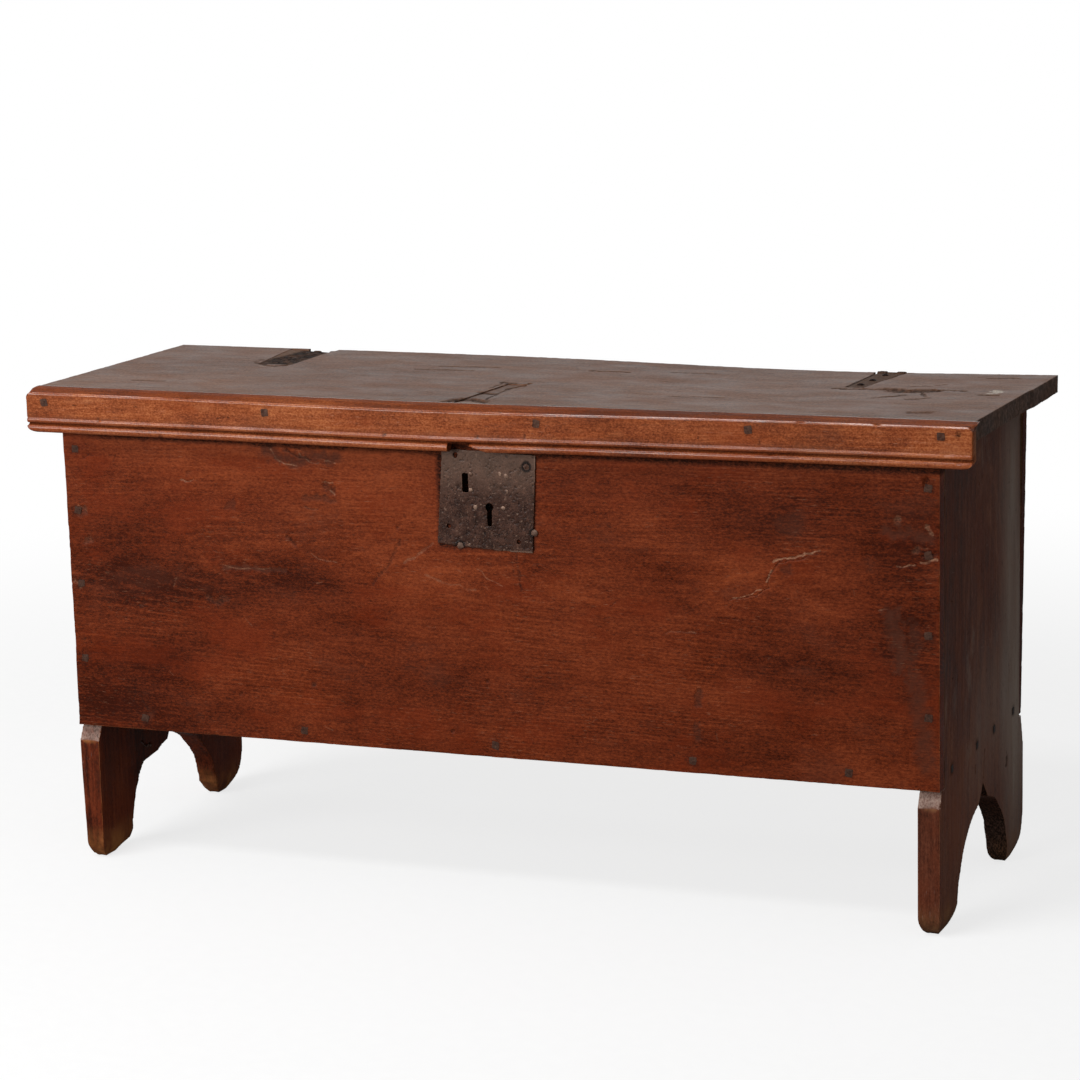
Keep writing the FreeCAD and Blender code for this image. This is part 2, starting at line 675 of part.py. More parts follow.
def bolt_spring_blank():
    """Leaf whose foot is riveted to the plate and whose tip bears on the bolt's upper edge."""
    body = new_body("bolt_spring_blank", "plate_across + spring_across", "front_face",
                    "plate_level + spring_level")
    foot = rectangle("-spring_foot / 2", "spring_foot / 2", "-spring_foot / 2", "spring_foot / 2")
    pad(body, outline(new_sketch(body, "XZ_Plane"), foot), "strip_thick", reverse=True)
    tip = "-spring_foot / 2 - spring_reach"
    tip_level = "bolt_level + bolt_height / 2 + bolt_play - spring_level"
    leaf = [("-spring_foot / 2", "spring_foot / 2 - spring_thick"), ("-spring_foot / 2", "spring_foot / 2"),
            (tip, f"{tip_level} + spring_thick"), (tip, tip_level)]
    arcs = {1: ("spring_radius + spring_thick", -1), 3: ("spring_radius", 1)}
    pad(body, outline(new_sketch(body, "XZ_Plane"), leaf, arcs), "spring_width", reverse=True)
    return body


def rivet():
    """Rivet along +Y through the plate and a foot behind it, with a low head at each end."""
    body = new_body("rivet")
    grip = "plate_thick + strip_thick"
    end = f"{grip} + rivet_head_height"
    corners = [("-rivet_head_height", "0"), ("-rivet_head_height", "rivet_radius"),
               ("0", "rivet_head_radius"), ("0", "rivet_radius"), (grip, "rivet_radius"),
               (grip, "rivet_head_radius"), (end, "rivet_radius"), (end, "0")]
    return turned(body, corners)


# Fasteners
front_board_nails = copies("front_board_nails", board_nail, board_nail_places("front_face"), TO_BACK)
back_board_nails = copies("back_board_nails", board_nail, board_nail_places("back_face"), TO_FRONT)
left_end_nails = copies("left_end_nails", board_nail, end_nail_places("-end_face"), TO_RIGHT)
right_end_nails = copies("right_end_nails", board_nail, end_nail_places("end_face"), TO_LEFT)
moulding_nails = copies("moulding_nails", moulding_nail, moulding_nail_places(), TO_BACK)
lock_plate_nails = copies("lock_plate_nails", small_nail, plate_nail_places(), TO_BACK)
lock_rivets = copies("lock_rivets", rivet(), rivet_places(), X_TO_BACK)
subparts = [front_board_nails, back_board_nails, left_end_nails, right_end_nails, moulding_nails,
            lock_plate_nails, lock_rivets]

# Hinges
strap_nails = {}
hinge_plate_nails = {}
for side in OUTWARD:
    hinge = f"{side}_hinge_across"
    strap_nails[side] = copies(f"{side}_strap_nails", small_nail, strap_nail_places(side), DOWNWARD)
    hinge_plate_nails[side] = copies(f"{side}_hinge_plate_nails", small_nail,
                                     hinge_plate_nail_places(hinge), TO_FRONT)
    strap = cut(f"{side}_hinge_strap", strap_blank(side), strap_nails[side])
    plate_blank = hinge_plate_blank(f"{side}_plate_blank", hinge)
    plate = cut(f"{side}_hinge_plate", plate_blank, hinge_plate_nails[side])
    pin = hinge_pin(f"{side}_hinge_pin", hinge)
    subparts += [strap_nails[side], hinge_plate_nails[side], strap, plate, pin]

# Carcase
bottom_blank = box("bottom_blank", "carcase_length - 2 * (end_thick - housing_depth)",
                   "carcase_depth - front_thick - back_thick", "bottom_thick",
                   "-end_face + end_thick - housing_depth", "front_face + front_thick", "bottom_underside")
front_blank = box("front_blank", "carcase_length", "front_thick", "board_rise",
                  "-end_face", "front_face", "clear_height")
back_blank = box("back_blank", "carcase_length", "back_thick", "board_rise",
                 "-end_face", "back_face - back_thick", "clear_height")
mortise = box("lock_mortise", "mortise_right - mortise_left", "mortise_depth + overrun",
              "mortise_top - mortise_floor", "plate_across + mortise_left", "front_face - overrun",
              "plate_level + mortise_floor")
subparts += [
    cut("front_board", front_blank, mortise, front_board_nails, lock_plate_nails),
    cut("back_board", back_blank, back_board_nails, *hinge_plate_nails.values()),
    cut("bottom_board", bottom_blank, front_board_nails, back_board_nails, left_end_nails, right_end_nails),
]
for side, across, end_nails in (("left", "-end_face", left_end_nails),
                                ("right", "end_face - end_thick", right_end_nails)):
    housed = cut(f"{side}_end_housed", end_board_blank(f"{side}_end_blank", across), bottom_blank)
    subparts.append(cut(f"{side}_end_board", housed, front_board_nails, back_board_nails, end_nails))

# Lid
subparts += [
    cut("lid_board", lid_blank(), moulding_nails, *strap_nails.values()),
    cut("lid_front_moulding", moulding_blank(), moulding_nails),
]

# Lock
rivet_hole = doc.addObject("Part::Cylinder", "rivet_hole")
bind(rivet_hole, Radius="rivet_radius + rivet_play", Height="plate_thick + strip_thick + overrun")
rivet_holes = copies("rivet_holes", rivet_hole, rivet_places(), Z_TO_BACK)
guides = together("guide_blanks", [bolt_guide("left_guide", "left_guide_across"),
                                   bolt_guide("right_guide", "right_guide_across")])
subparts += [
    cut("lock_plate", lock_plate_blank(), rivet_holes, lock_plate_nails),
    lock_bolt(),
    cut("bolt_guides", guides, rivet_holes),
    cut("bolt_spring", bolt_spring_blank(), rivet_holes),
    cut("key_bridge", key_bridge_blank(), rivet_holes),
]

doc.recompute()
failed = [item.Label for item in doc.Objects if {"Invalid", "Error"} & set(item.State)]
failed += [part.Label for part in subparts if part.Shape.isNull() or not part.Shape.isValid()]
if failed:
    raise RuntimeError(f"failed objects: {failed}")
os.makedirs("parts", exist_ok=True)
for part in subparts:
    part.Shape.exportStep(f"parts/{part.Label}.step")
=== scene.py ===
import bmesh
import bpy
import itertools
import numpy as np
from mathutils import Matrix, Vector


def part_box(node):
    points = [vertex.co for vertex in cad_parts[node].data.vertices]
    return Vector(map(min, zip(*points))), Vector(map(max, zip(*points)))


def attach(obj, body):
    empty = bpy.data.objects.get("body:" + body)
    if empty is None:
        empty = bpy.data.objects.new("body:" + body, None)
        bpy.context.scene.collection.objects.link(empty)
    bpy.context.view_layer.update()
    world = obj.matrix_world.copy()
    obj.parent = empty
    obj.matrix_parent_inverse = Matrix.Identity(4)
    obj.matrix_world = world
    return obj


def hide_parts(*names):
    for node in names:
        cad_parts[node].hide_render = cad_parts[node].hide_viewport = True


# Old six-board chest: worn boards, a run moulding, wrought iron, in a white studio.
# Sizes written in millimetres are turned into metres by MM; -Y is the front and +Z is up.
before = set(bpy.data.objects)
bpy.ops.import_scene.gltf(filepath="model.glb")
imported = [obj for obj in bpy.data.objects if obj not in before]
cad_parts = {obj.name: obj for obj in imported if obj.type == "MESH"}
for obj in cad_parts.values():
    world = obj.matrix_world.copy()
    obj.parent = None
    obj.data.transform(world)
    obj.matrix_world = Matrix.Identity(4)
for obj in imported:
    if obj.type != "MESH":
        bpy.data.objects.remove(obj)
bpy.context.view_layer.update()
scene = bpy.context.scene
MM = 0.001
X, Y, Z = 0, 1, 2

# Nails that pierce each board
BOARD_NAILS = {
    "front_board": ("front_board_nails", "lock_plate_nails"),
    "back_board": ("back_board_nails", "left_hinge_plate_nails", "right_hinge_plate_nails"),
    "bottom_board": ("front_board_nails", "back_board_nails", "left_end_nails", "right_end_nails"),
    "left_end_board": ("front_board_nails", "back_board_nails", "left_end_nails"),
    "right_end_board": ("front_board_nails", "back_board_nails", "right_end_nails"),
    "lid_board": ("moulding_nails", "left_strap_nails", "right_strap_nails"),
}


def srgb(red, green, blue):
    """Linear colour of one written from 0 to 255."""
    shares = np.array([red, green, blue]) / 255
    linear = np.where(shares > 0.04045, ((shares + 0.055) / 1.055) ** 2.4, shares / 12.92)
    return (*linear.tolist(), 1.0)


def tones(base=(), **written):
    """Linear colours by name, added to those of a base."""
    return {**dict(base), **{name: srgb(*colour) for name, colour in written.items()}}


# Repeatable noise on points

# Large odd numbers that scatter the bits of a cell's three numbers, of the seed and of their mix
SCATTER = (73856093, 19349663, 83492791)
SEED_SCATTER = 668265263
MIX_SCATTER = 1274126177


def hashed(cells, seed):
    """A steady number from -1 to 1 for each whole-number cell."""
    mixed = seed * SEED_SCATTER
    for axis, factor in enumerate(SCATTER):
        mixed = mixed ^ (cells[:, axis] * factor)
    mixed = (mixed ^ (mixed >> 13)) * MIX_SCATTER
    return ((mixed ^ (mixed >> 16)) & 0xFFFF) / 32767.5 - 1


def lattice(points, size, seed):
    """Smooth noise from -1 to 1 with cells of the given size in metres."""
    scaled = points / np.asarray(size)
    cells = np.floor(scaled).astype(np.int64)
    part = scaled - cells
    part = part * part * (3 - 2 * part)
    total = np.zeros(len(points))
    for corner in itertools.product((0, 1), repeat=3):
        weight = np.prod(np.where(corner, part, 1 - part), axis=1)
        total += weight * hashed(cells + np.array(corner), seed)
    return total


def fractal(points, size, seed, octaves=3):
    """Noise of several sizes, each half the one before."""
    size = np.asarray(size, float)
    shares = [0.5 ** step for step in range(octaves)]
    layers = [share * lattice(points, size * share, seed + step) for step, share in enumerate(shares)]
    return sum(layers) / sum(shares)


def step(value, low, high):
    """Smooth rise from 0 at low to 1 at high."""
    share = np.clip((value - low) / (high - low), 0, 1)
    return share * share * (3 - 2 * share)


# Mesh tools

def link(name, data):
    piece = bpy.data.objects.new(name, data)
    scene.collection.objects.link(piece)
    return piece


def built(name, bm):
    """A new piece with the mesh that bm holds."""
    mesh = bpy.data.meshes.new(name)
    bm.to_mesh(mesh)
    bm.free()
    return link(name, mesh)


def values_of(items, name, width=1, kind=np.float32):
    """What the items hold under a name, with a row for each item where it has several numbers."""
    flat = np.empty(len(items) * width, kind)
    items.foreach_get(name, flat)
    return flat.reshape(-1, width) if width > 1 else flat


def points_of(mesh):
    return values_of(mesh.vertices, "co", 3, float)


def normals_of(mesh):
    return values_of(mesh.vertex_normals, "vector", 3).astype(float)


def middles_of(mesh):
    return values_of(mesh.polygons, "center", 3, float)


def edges_of(mesh):
    return values_of(mesh.edges, "vertices", 2, np.int32)


def move_points(mesh, points):
    mesh.vertices.foreach_set("co", points.ravel())
    mesh.update()


def paint(mesh, **layers):
    """Stores a number from 0 to 1 on each vertex under each name, for the materials to read."""
    for name, values in layers.items():
        layer = mesh.attributes.get(name) or mesh.attributes.new(name, "FLOAT", "POINT")
        layer.data.foreach_set("value", np.clip(values, 0, 1).astype(np.float32))


def painted(mesh, name):
    return values_of(mesh.attributes[name].data, "value")


def paint_over(mesh, **layers):
    """Raises the numbers painted on the vertices to the given ones where these are higher."""
    paint(mesh, **{name: np.maximum(painted(mesh, name), values) for name, values in layers.items()})


def welded(node):
    """The node's mesh with the vertices of its hard edges joined."""
    bm = bmesh.new()
    bm.from_mesh(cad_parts[node].data)
    bmesh.ops.remove_doubles(bm, verts=bm.verts, dist=0.001 * MM)
    return bm


def loose_parts(node):
    """Corner points of each separate solid of a node."""
    bm = welded(node)
    seen = set()
    parts = []
    for start in bm.verts:
        if start in seen:
            continue
        group = [start]
        seen.add(start)
        for vertex in group:
            for edge in vertex.link_edges:
                other = edge.other_vert(vertex)
                if other not in seen:
                    seen.add(other)
                    group.append(other)
        parts.append(np.array([vertex.co for vertex in group]))
    bm.free()
    return parts


def without_nail_holes(node):
    """The board's closed shape with the linings of its nail holes taken out and the holes capped."""
    slack = 0.2 * MM
    bm = welded(node)
    boxes = [(part.min(0) - slack, part.max(0) + slack)
             for nails in BOARD_NAILS[node] for part in loose_parts(nails)]
    lining = []
    for face in bm.faces:
        corners = np.array([vertex.co for vertex in face.verts])
        if any(((corners > low) & (corners < high)).all() for low, high in boxes):
            lining.append(face)
    bmesh.ops.delete(bm, geom=lining, context="FACES")
    bmesh.ops.holes_fill(bm, edges=[edge for edge in bm.edges if edge.is_boundary], sides=0)
    return bm


def remeshed(name, bm, cell, sharp=True):
    """A piece of even faces about a cell wide in the shape of a closed mesh, its edges sharp or rounded."""
    piece = built(name, bm)
    mesh = piece.data
    modifier = piece.modifiers.new("remesh", "REMESH")
    if sharp:
        size = np.ptp(points_of(mesh), axis=0).max()
        depth = int(np.ceil(np.log2(size / (0.98 * cell))))
        modifier.mode = "SHARP"
        modifier.octree_depth = depth
        modifier.scale = size / (2 ** depth * cell)
        modifier.use_remove_disconnected = False
    else:
        modifier.mode = "VOXEL"
        modifier.voxel_size = cell
    modifier.use_smooth_shade = True
    graph = bpy.context.evaluated_depsgraph_get()
    fine = bpy.data.meshes.new_from_object(piece.evaluated_get(graph))
    piece.modifiers.clear()
    piece.data = fine
    bpy.data.meshes.remove(mesh)
    return piece


def faces_with(mesh, chosen):
    """Whether each face has one of the chosen vertices."""
    corners = values_of(mesh.loops, "vertex_index", 1, np.int32)
    starts = values_of(mesh.polygons, "loop_start", 1, np.int32)
    return np.logical_or.reduceat(chosen[corners], starts)


def divide(mesh, wanted):
    """Divides the wanted faces."""
    bm = bmesh.new()
    bm.from_mesh(mesh)
    bm.faces.ensure_lookup_table()
    edges = {edge for index in np.flatnonzero(wanted) for edge in bm.faces[index].edges}
    bmesh.ops.subdivide_edges(bm, edges=list(edges), cuts=1, use_grid_fill=True)
    bm.to_mesh(mesh)
    bm.free()
    mesh.shade_smooth()


# Bend above which a vertex lies on an outer edge
OUTER_EDGE = 0.12


def divide_edges(mesh, cell):
    """Divides the faces along the outer edges."""
    divide(mesh, faces_with(mesh, convexity(mesh, cell, 0) > OUTER_EDGE))


def neighbour_mean(values, pairs):
    """Mean of each vertex's neighbours, for one number or three per vertex."""
    values = values.reshape(len(values), -1)
    count = len(values)
    degree = np.bincount(pairs.ravel(), minlength=count)
    total = np.zeros_like(values)
    for near, far in ((0, 1), (1, 0)):
        for column in range(values.shape[1]):
            total[:, column] += np.bincount(pairs[:, near], values[pairs[:, far], column], count)
    return total / np.maximum(degree, 1)[:, None]


def convexity(mesh, voxel, rounds):
    """How much of an outer edge each vertex lies on, spread over a few neighbours."""
    points = points_of(mesh)
    pairs = edges_of(mesh)
    bend = -((neighbour_mean(points, pairs) - points) * normals_of(mesh)).sum(1) / voxel
    for _ in range(rounds):
        bend = neighbour_mean(bend, pairs)[:, 0]
    return bend


# Marks on a board's face

def stroke_distance(flat, route):
    """Distance of points in a plane from a line through the route's points."""
    best = np.full(len(flat), np.inf)
    for start, end in zip(route[:-1], route[1:]):
        start = np.array(start) * MM
        along = np.array(end) * MM - start
        share = np.clip(((flat - start) @ along) / max(along @ along, 1e-12), 0, 1)
        best = np.minimum(best, np.linalg.norm(flat - start - share[:, None] * along, axis=1))
    return best


def wander(route, seed):
    """The route with a point pushed aside on each stretch, so that no line runs straight."""
    rng = np.random.default_rng(seed)
    bent = [np.array(route[0], float)]
    for end in route[1:]:
        start, end = bent[-1], np.array(end, float)
        aside = np.array([start[1] - end[1], end[0] - start[0]])
        aside *= min(1.0, 30 / (np.linalg.norm(aside) + 0.001))
        for share in (0.33, 0.68):
            bent.append(start + (end - start) * share + aside * rng.uniform(-0.09, 0.09))
        bent.append(end)
    return bent


def mark(route, width, depth=0, dark=0, pale=0, film=0):
    """One worn mark: its line in millimetres, half width and depth, and how dark, pale or hazy it is."""
    route = [route] if isinstance(route[0], (int, float)) else list(route)
    if len(route) == 1:
        route = [route[0], (route[0][0] + 0.8 * width, route[0][1] + 0.4 * width)]
    seed = int(sum(abs(number) for point in route for number in point))
    return {"route": wander(route, seed), "width": width, "depth": depth, "dark": dark, "pale": pale,
            "film": film}


def marks_of(*rows):
    return [mark(*row) for row in rows]


def scratches(count, low, high, seed):
    """Fine short scratches and flecks, most of them along the grain; the pale ones are rubbed wood and partly
    painted glints.
    """
    rng = np.random.default_rng(seed)
    marks = []
    for _ in range(count):
        start = rng.uniform(low, high)
        lean = rng.normal(0, 0.22) if rng.random() < 0.65 else rng.uniform(-1.5, 1.5)
        end = start + rng.uniform(2, 13) * np.array([np.cos(lean), np.sin(lean)])
        dark = rng.random() < 0.6
        strength = rng.uniform(0.2, 0.6)
        marks.append(mark([tuple(start), tuple(end)], rng.uniform(0.4, 0.9), 0.15, strength * dark,
                          0.6 * strength * (not dark)))
    return marks


def apply_marks(points, facing, plane, marks, seed):
    """Depth of the marks at the points of the face, and how dark, pale and hazy they make it."""
    ragged = fractal(points, 5 * MM, seed)
    grit = fractal(points, 2 * MM, seed + 7)
    broken = step(fractal(points, 9 * MM, seed + 9), -0.3, 0.1)
    layers = {name: np.zeros(len(points)) for name in ("depth", "dark", "pale", "film")}
    flat = points[:, plane]
    for item in marks:
        width = item["width"] * MM
        reach = 2.6 * width
        route = np.array(item["route"]) * MM
        near = np.flatnonzero(((flat > route.min(0) - reach) & (flat < route.max(0) + reach)).all(1))
        rough = ragged[near]
        distance = stroke_distance(flat[near], item["route"])
        share = facing[near] * step(-distance, -width * (1.3 + 1.2 * rough), -width * (0.25 + 0.6 * rough))
        shows = {"depth": MM, "dark": 0.8 + 0.5 * grit[near], "film": 0.8 + 0.6 * rough,
                 "pale": (0.4 + 0.6 * broken[near]) * (0.8 + 0.9 * grit[near])}
        for name, layer in layers.items():
            layer[near] = np.maximum(layer[near], share * item[name] * shows[name])
    return layers


def dents(points, count, low, high, radii, depths, seed):
    """Depth of scattered knocks over a box."""
    rng = np.random.default_rng(seed)
    depth = np.zeros(len(points))
    for _ in range(count):
        centre = rng.uniform(low, high)
        radius = rng.uniform(*radii) * MM
        deep = rng.uniform(*depths) * MM
        stretch = np.array([rng.uniform(0.5, 1.6), 1.0, rng.uniform(0.7, 1.3)])
        distance = np.linalg.norm((points - centre) / stretch, axis=1)
        depth = np.maximum(depth, deep * step(-distance, -radius, 0))
    return depth


# Materials

class Wiring:
    """Adds the nodes of one tree and feeds their sockets with values or links."""

    def __init__(self, tree):
        self.tree = tree

    def feed(self, socket, value):
        if isinstance(value, bpy.types.NodeSocket):
            self.tree.links.new(value, socket)
        else:
            socket.default_value = value

    def add(self, kind, sockets=(), **settings):
        node = self.tree.nodes.new(kind)
        for name, value in settings.items():
            setattr(node, name, value)
        for name, value in dict(sockets).items():
            self.feed(node.inputs[name], value)
        return node

    def math(self, operation, *values):
        return self.add("ShaderNodeMath", enumerate(values), operation=operation).outputs[0]

    def parts(self, vector):
        return self.add("ShaderNodeSeparateXYZ", {0: vector}).outputs

    def scaled(self, vector, scale, shift=(0, 0, 0)):
        return self.add("ShaderNodeMapping", {"Vector": vector, "Scale": scale, "Location": shift}).outputs[0]

    def noise(self, vector, scale, detail=4.0, rough=0.55):
        """Noise from about 0.2 to 0.8, with its own scale along each axis."""
        return self.add("ShaderNodeTexNoise", {"Vector": self.scaled(vector, scale), "Scale": 1.0,
                                               "Detail": detail, "Roughness": rough}).outputs["Fac"]

    def remap(self, value, low, high, to_low=0.0, to_high=1.0, curve="SMOOTHSTEP"):
        return self.add("ShaderNodeMapRange", {"Value": value, "From Min": low, "From Max": high,
                                               "To Min": to_low, "To Max": to_high},
                        interpolation_type=curve).outputs[0]

    def mix(self, share, first, second):
        return self.add("ShaderNodeMix", {0: share, 6: first, 7: second}, data_type="RGBA").outputs[2]

    def ramp(self, value, *stops):
        node = self.add("ShaderNodeValToRGB", {"Fac": value})
        elements = node.color_ramp.elements
        while len(elements) < len(stops):
            elements.new(0.5)
        for element, (position, colour) in zip(elements, stops):
            element.position = position
            element.color = colour
        return node.outputs["Color"]

    def layer(self, name):
        return self.add("ShaderNodeAttribute", attribute_name=name).outputs["Fac"]

    def bump(self, height, distance, strength):
        return self.add("ShaderNodeBump", {"Height": height, "Distance": distance,
                                           "Strength": strength}).outputs["Normal"]


class Paint(Wiring):
    """The nodes of one material around its principled shader."""

    def __init__(self, name):
        self.material = bpy.data.materials.new(name)
        self.material.use_nodes = True
        super().__init__(self.material.node_tree)
        self.shader = self.tree.nodes["Principled BSDF"]
        self.place = self.add("ShaderNodeTexCoord").outputs["Object"]

    def finish(self, **sockets):
        for name, value in sockets.items():
            self.feed(self.shader.inputs[name.replace("_", " ")], value)
        return self.material


def grain_place(paint_, axes):
    """Coordinates along the grain, across the face and into the board, joined and one by one."""
    parts = paint_.parts(paint_.place)
    ways = [parts[axis] for axis in axes]
    return paint_.add("ShaderNodeCombineXYZ", enumerate(ways)).outputs[0], ways


def growth_rings(paint_, grain, ways, pith):
    """Thin lines where the growth rings about a sloping pith line meet the surface."""
    math = paint_.math
    along, across, into = ways
    sway = math("MULTIPLY", math("SUBTRACT", paint_.noise(grain, (2.2, 9, 9), 2.0), 0.5), pith["sway"])
    flutter = math("MULTIPLY", math("SUBTRACT", paint_.noise(grain, (9, 60, 60), 3.0), 0.5), pith["flutter"])
    aside = math("ADD", math("SUBTRACT", across, pith["across"]), flutter)
    deep = math("ADD", math("MULTIPLY_ADD", along, pith["slope"], pith["depth"]), sway)
    deep = math("MULTIPLY_ADD", into, 0.6, deep)
    radius = math("SQRT", math("ADD", math("MULTIPLY", aside, aside), math("MULTIPLY", deep, deep)))
    saw = math("FRACT", math("DIVIDE", radius, pith["spacing"]))
    return paint_.remap(math("ABSOLUTE", math("MULTIPLY_ADD", saw, 2.0, -1.0)), 0.45, 1.0)


WARM_SHEEN = (1.0, 0.91, 0.83, 1)
POLISH_IOR = 1.6


def wood(name, axes, pith, figure, palette, gloss, polish=None):
    """Old wood: growth rings, mottling, fibres, pores, stains, rubbed edges and marks.

    axes names the coordinates along the grain, across the face and into the board; pith places the growth
    rings in metres; figure says how strongly each layer shows; gloss gives the lowest and highest roughness
    and the specular level; polish is the roughness of a polish, where one is painted on.
    """
    paint_ = Paint(name)
    math = paint_.math
    grain, ways = grain_place(paint_, axes)
    shifted = paint_.scaled(grain, (1, 1, 1), (3.1, 1.7, 0.4))
    patch = paint_.noise(shifted, (9, 15, 15), 4.0, 0.6)
    ring = math("MULTIPLY", growth_rings(paint_, grain, ways, pith), paint_.remap(patch, 0.42, 0.6))
    layers = {
        "cloud": paint_.noise(grain, (2.4, 5, 5), 3.0, 0.5),
        "mottle": paint_.noise(grain, (13, 25, 25), 7.0, 0.66),
        "fibre": paint_.noise(grain, figure["weave"], 4.0, 0.62),
        "speckle": paint_.noise(grain, figure["grit"], 3.0, 0.7),
        "ring": ring,
        # The shade layer holds broad darker and lighter areas, partly painted light: lighter under the
        # moulding, darker on the end boards' fronts and the moulding's top
        "shade": paint_.layer("shade"),
    }
    tone = 0.5
    for layer, fac in layers.items():
        tone = math("MULTIPLY_ADD", math("SUBTRACT", fac, 0.5), figure[layer], tone)
    colour = paint_.ramp(tone, (0.14, palette["dark"]), (0.47, palette["mid"]), (0.84, palette["light"]))
    stain = paint_.noise(shifted, (7, 13, 13), 6.0, 0.68)
    colour = paint_.mix(paint_.remap(stain, 0.5, 0.64, 0.0, figure["red"]), colour, palette["red"])
    # The film layer holds smudges and, on the right end board, a painted sheen
    haze = math("MAXIMUM", paint_.remap(stain, 0.45, 0.33, 0.0, figure["haze"]), paint_.layer("film"))
    colour = paint_.mix(haze, colour, palette["haze"])

    # Short dashes of open pores, dark where dirt sits in them and pale where it is rubbed out
    dash = paint_.noise(grain, (90, 1000, 1000), 3.0, 0.6)
    pore = math("MULTIPLY", paint_.remap(dash, 0.42, 0.3), paint_.remap(patch, 0.66, 0.45))
    rubbed = math("MULTIPLY", paint_.remap(dash, 0.6, 0.74), paint_.remap(patch, 0.45, 0.6))
    spot = paint_.remap(paint_.noise(shifted, (80, 125, 125), 3.0, 0.6), 0.67, 0.76)
    for share, layer, shown in ((figure["pore"], pore, "pore"), (figure["rubbed"], rubbed, "pale"),
                                (figure["spot"], spot, "grime")):
        colour = paint_.mix(math("MULTIPLY", layer, share), colour, palette[shown])

    # Inner faces are bare, edges are rubbed, marks are dark or pale
    raw = paint_.layer("raw")
    bare = paint_.ramp(tone, (0.1, palette["raw_dark"]), (0.5, palette["raw"]), (0.9, palette["raw_light"]))
    colour = paint_.mix(raw, colour, bare)
    wear = math("MULTIPLY", paint_.layer("wear"), paint_.remap(layers["mottle"], 0.35, 0.62, 0.2, 1.0))
    colour = paint_.mix(wear, colour, palette["worn"])
    grit = paint_.remap(layers["speckle"], 0.35, 0.6, 0.4, 1.0)
    # The pale layer holds rubbed marks and also painted glints and a painted sheen on the end boards'
    # shoulders
    pale = math("MULTIPLY", paint_.layer("pale"), grit)
    colour = paint_.mix(pale, colour, palette["pale"])
    # The dark layer holds stains and dirt and also painted shade: in hollows, quirks, notches, gaps, arches,
    # behind the lock plate and under the moulding
    dark = math("MULTIPLY", paint_.layer("dark"), paint_.remap(layers["speckle"], 0.62, 0.4, 0.6, 1.0))
    colour = paint_.mix(dark, colour, palette["grime"])

    low, high, specular = gloss
    rough = paint_.remap(layers["mottle"], 0.3, 0.7, low, high)
    for layer, share in ((pore, 0.12), (dark, 0.45), (raw, 0.2), (wear, 0.15)):
        rough = math("MULTIPLY_ADD", layer, share, rough)
    relief = math("MULTIPLY_ADD", layers["fibre"], 0.7, layers["speckle"])
    for layer, share in ((pore, -0.5), (layers["mottle"], 1.2), (ring, 0.15)):
        relief = math("MULTIPLY_ADD", layer, share, relief)
    normal = paint_.bump(relief, 0.3 * MM, 0.5)
    if polish:
        paint_.finish(Coat_Weight=paint_.layer("polish"), Coat_Roughness=polish, Coat_IOR=POLISH_IOR)
    return paint_.finish(Base_Color=colour, Roughness=rough, Normal=normal, Specular_IOR_Level=specular,
                         Specular_Tint=WARM_SHEEN)


def iron(name, palette, gloss, metallic, specular):
    """Hand-wrought iron: dark scale, brown rust, pits and rubbed edges."""
    paint_ = Paint(name)
    math = paint_.math
    scale = paint_.noise(paint_.place, (120, 120, 120), 6.0, 0.66)
    patch = paint_.noise(paint_.place, (24, 24, 24), 4.0, 0.55)
    grit = paint_.noise(paint_.place, (700, 700, 700), 3.0, 0.6)
    pit = paint_.remap(paint_.noise(paint_.place, (380, 380, 380), 2.0), 0.58, 0.7)
    tone = math("MULTIPLY_ADD", math("SUBTRACT", grit, 0.5), 0.9, scale)
    colour = paint_.ramp(tone, (0.22, palette["dark"]), (0.5, palette["mid"]), (0.78, palette["light"]))
    colour = paint_.mix(paint_.remap(patch, 0.48, 0.66, 0.0, 0.45), colour, palette["rust"])
    colour = paint_.mix(math("MULTIPLY", pit, 0.6), colour, palette["dark"])
    # The wear layer holds rubbed edges and also painted sheen and glints
    colour = paint_.mix(paint_.layer("wear"), colour, palette["worn"])
    colour = paint_.mix(paint_.layer("dark"), colour, palette["dark"])
    low, high = gloss
    rough = math("MULTIPLY_ADD", pit, 0.15, paint_.remap(scale, 0.3, 0.7, low, high))
    relief = math("MULTIPLY_ADD", pit, -0.8, math("MULTIPLY_ADD", grit, 0.4, scale))
    normal = paint_.bump(relief, 0.35 * MM, 0.7)
    return paint_.finish(Base_Color=colour, Roughness=rough, Metallic=metallic, Normal=normal,
                         Specular_IOR_Level=specular)


RAW = tones(raw_dark=(84, 58, 40), raw=(120, 88, 62), raw_light=(150, 116, 86))
FRONT_PALETTE = tones(RAW, dark=(58, 20, 9), mid=(106, 43, 20), light=(142, 66, 34), red=(118, 42, 16),
                      haze=(90, 48, 34), pore=(48, 17, 8), worn=(140, 80, 48), pale=(168, 122, 94),
                      grime=(38, 20, 15))
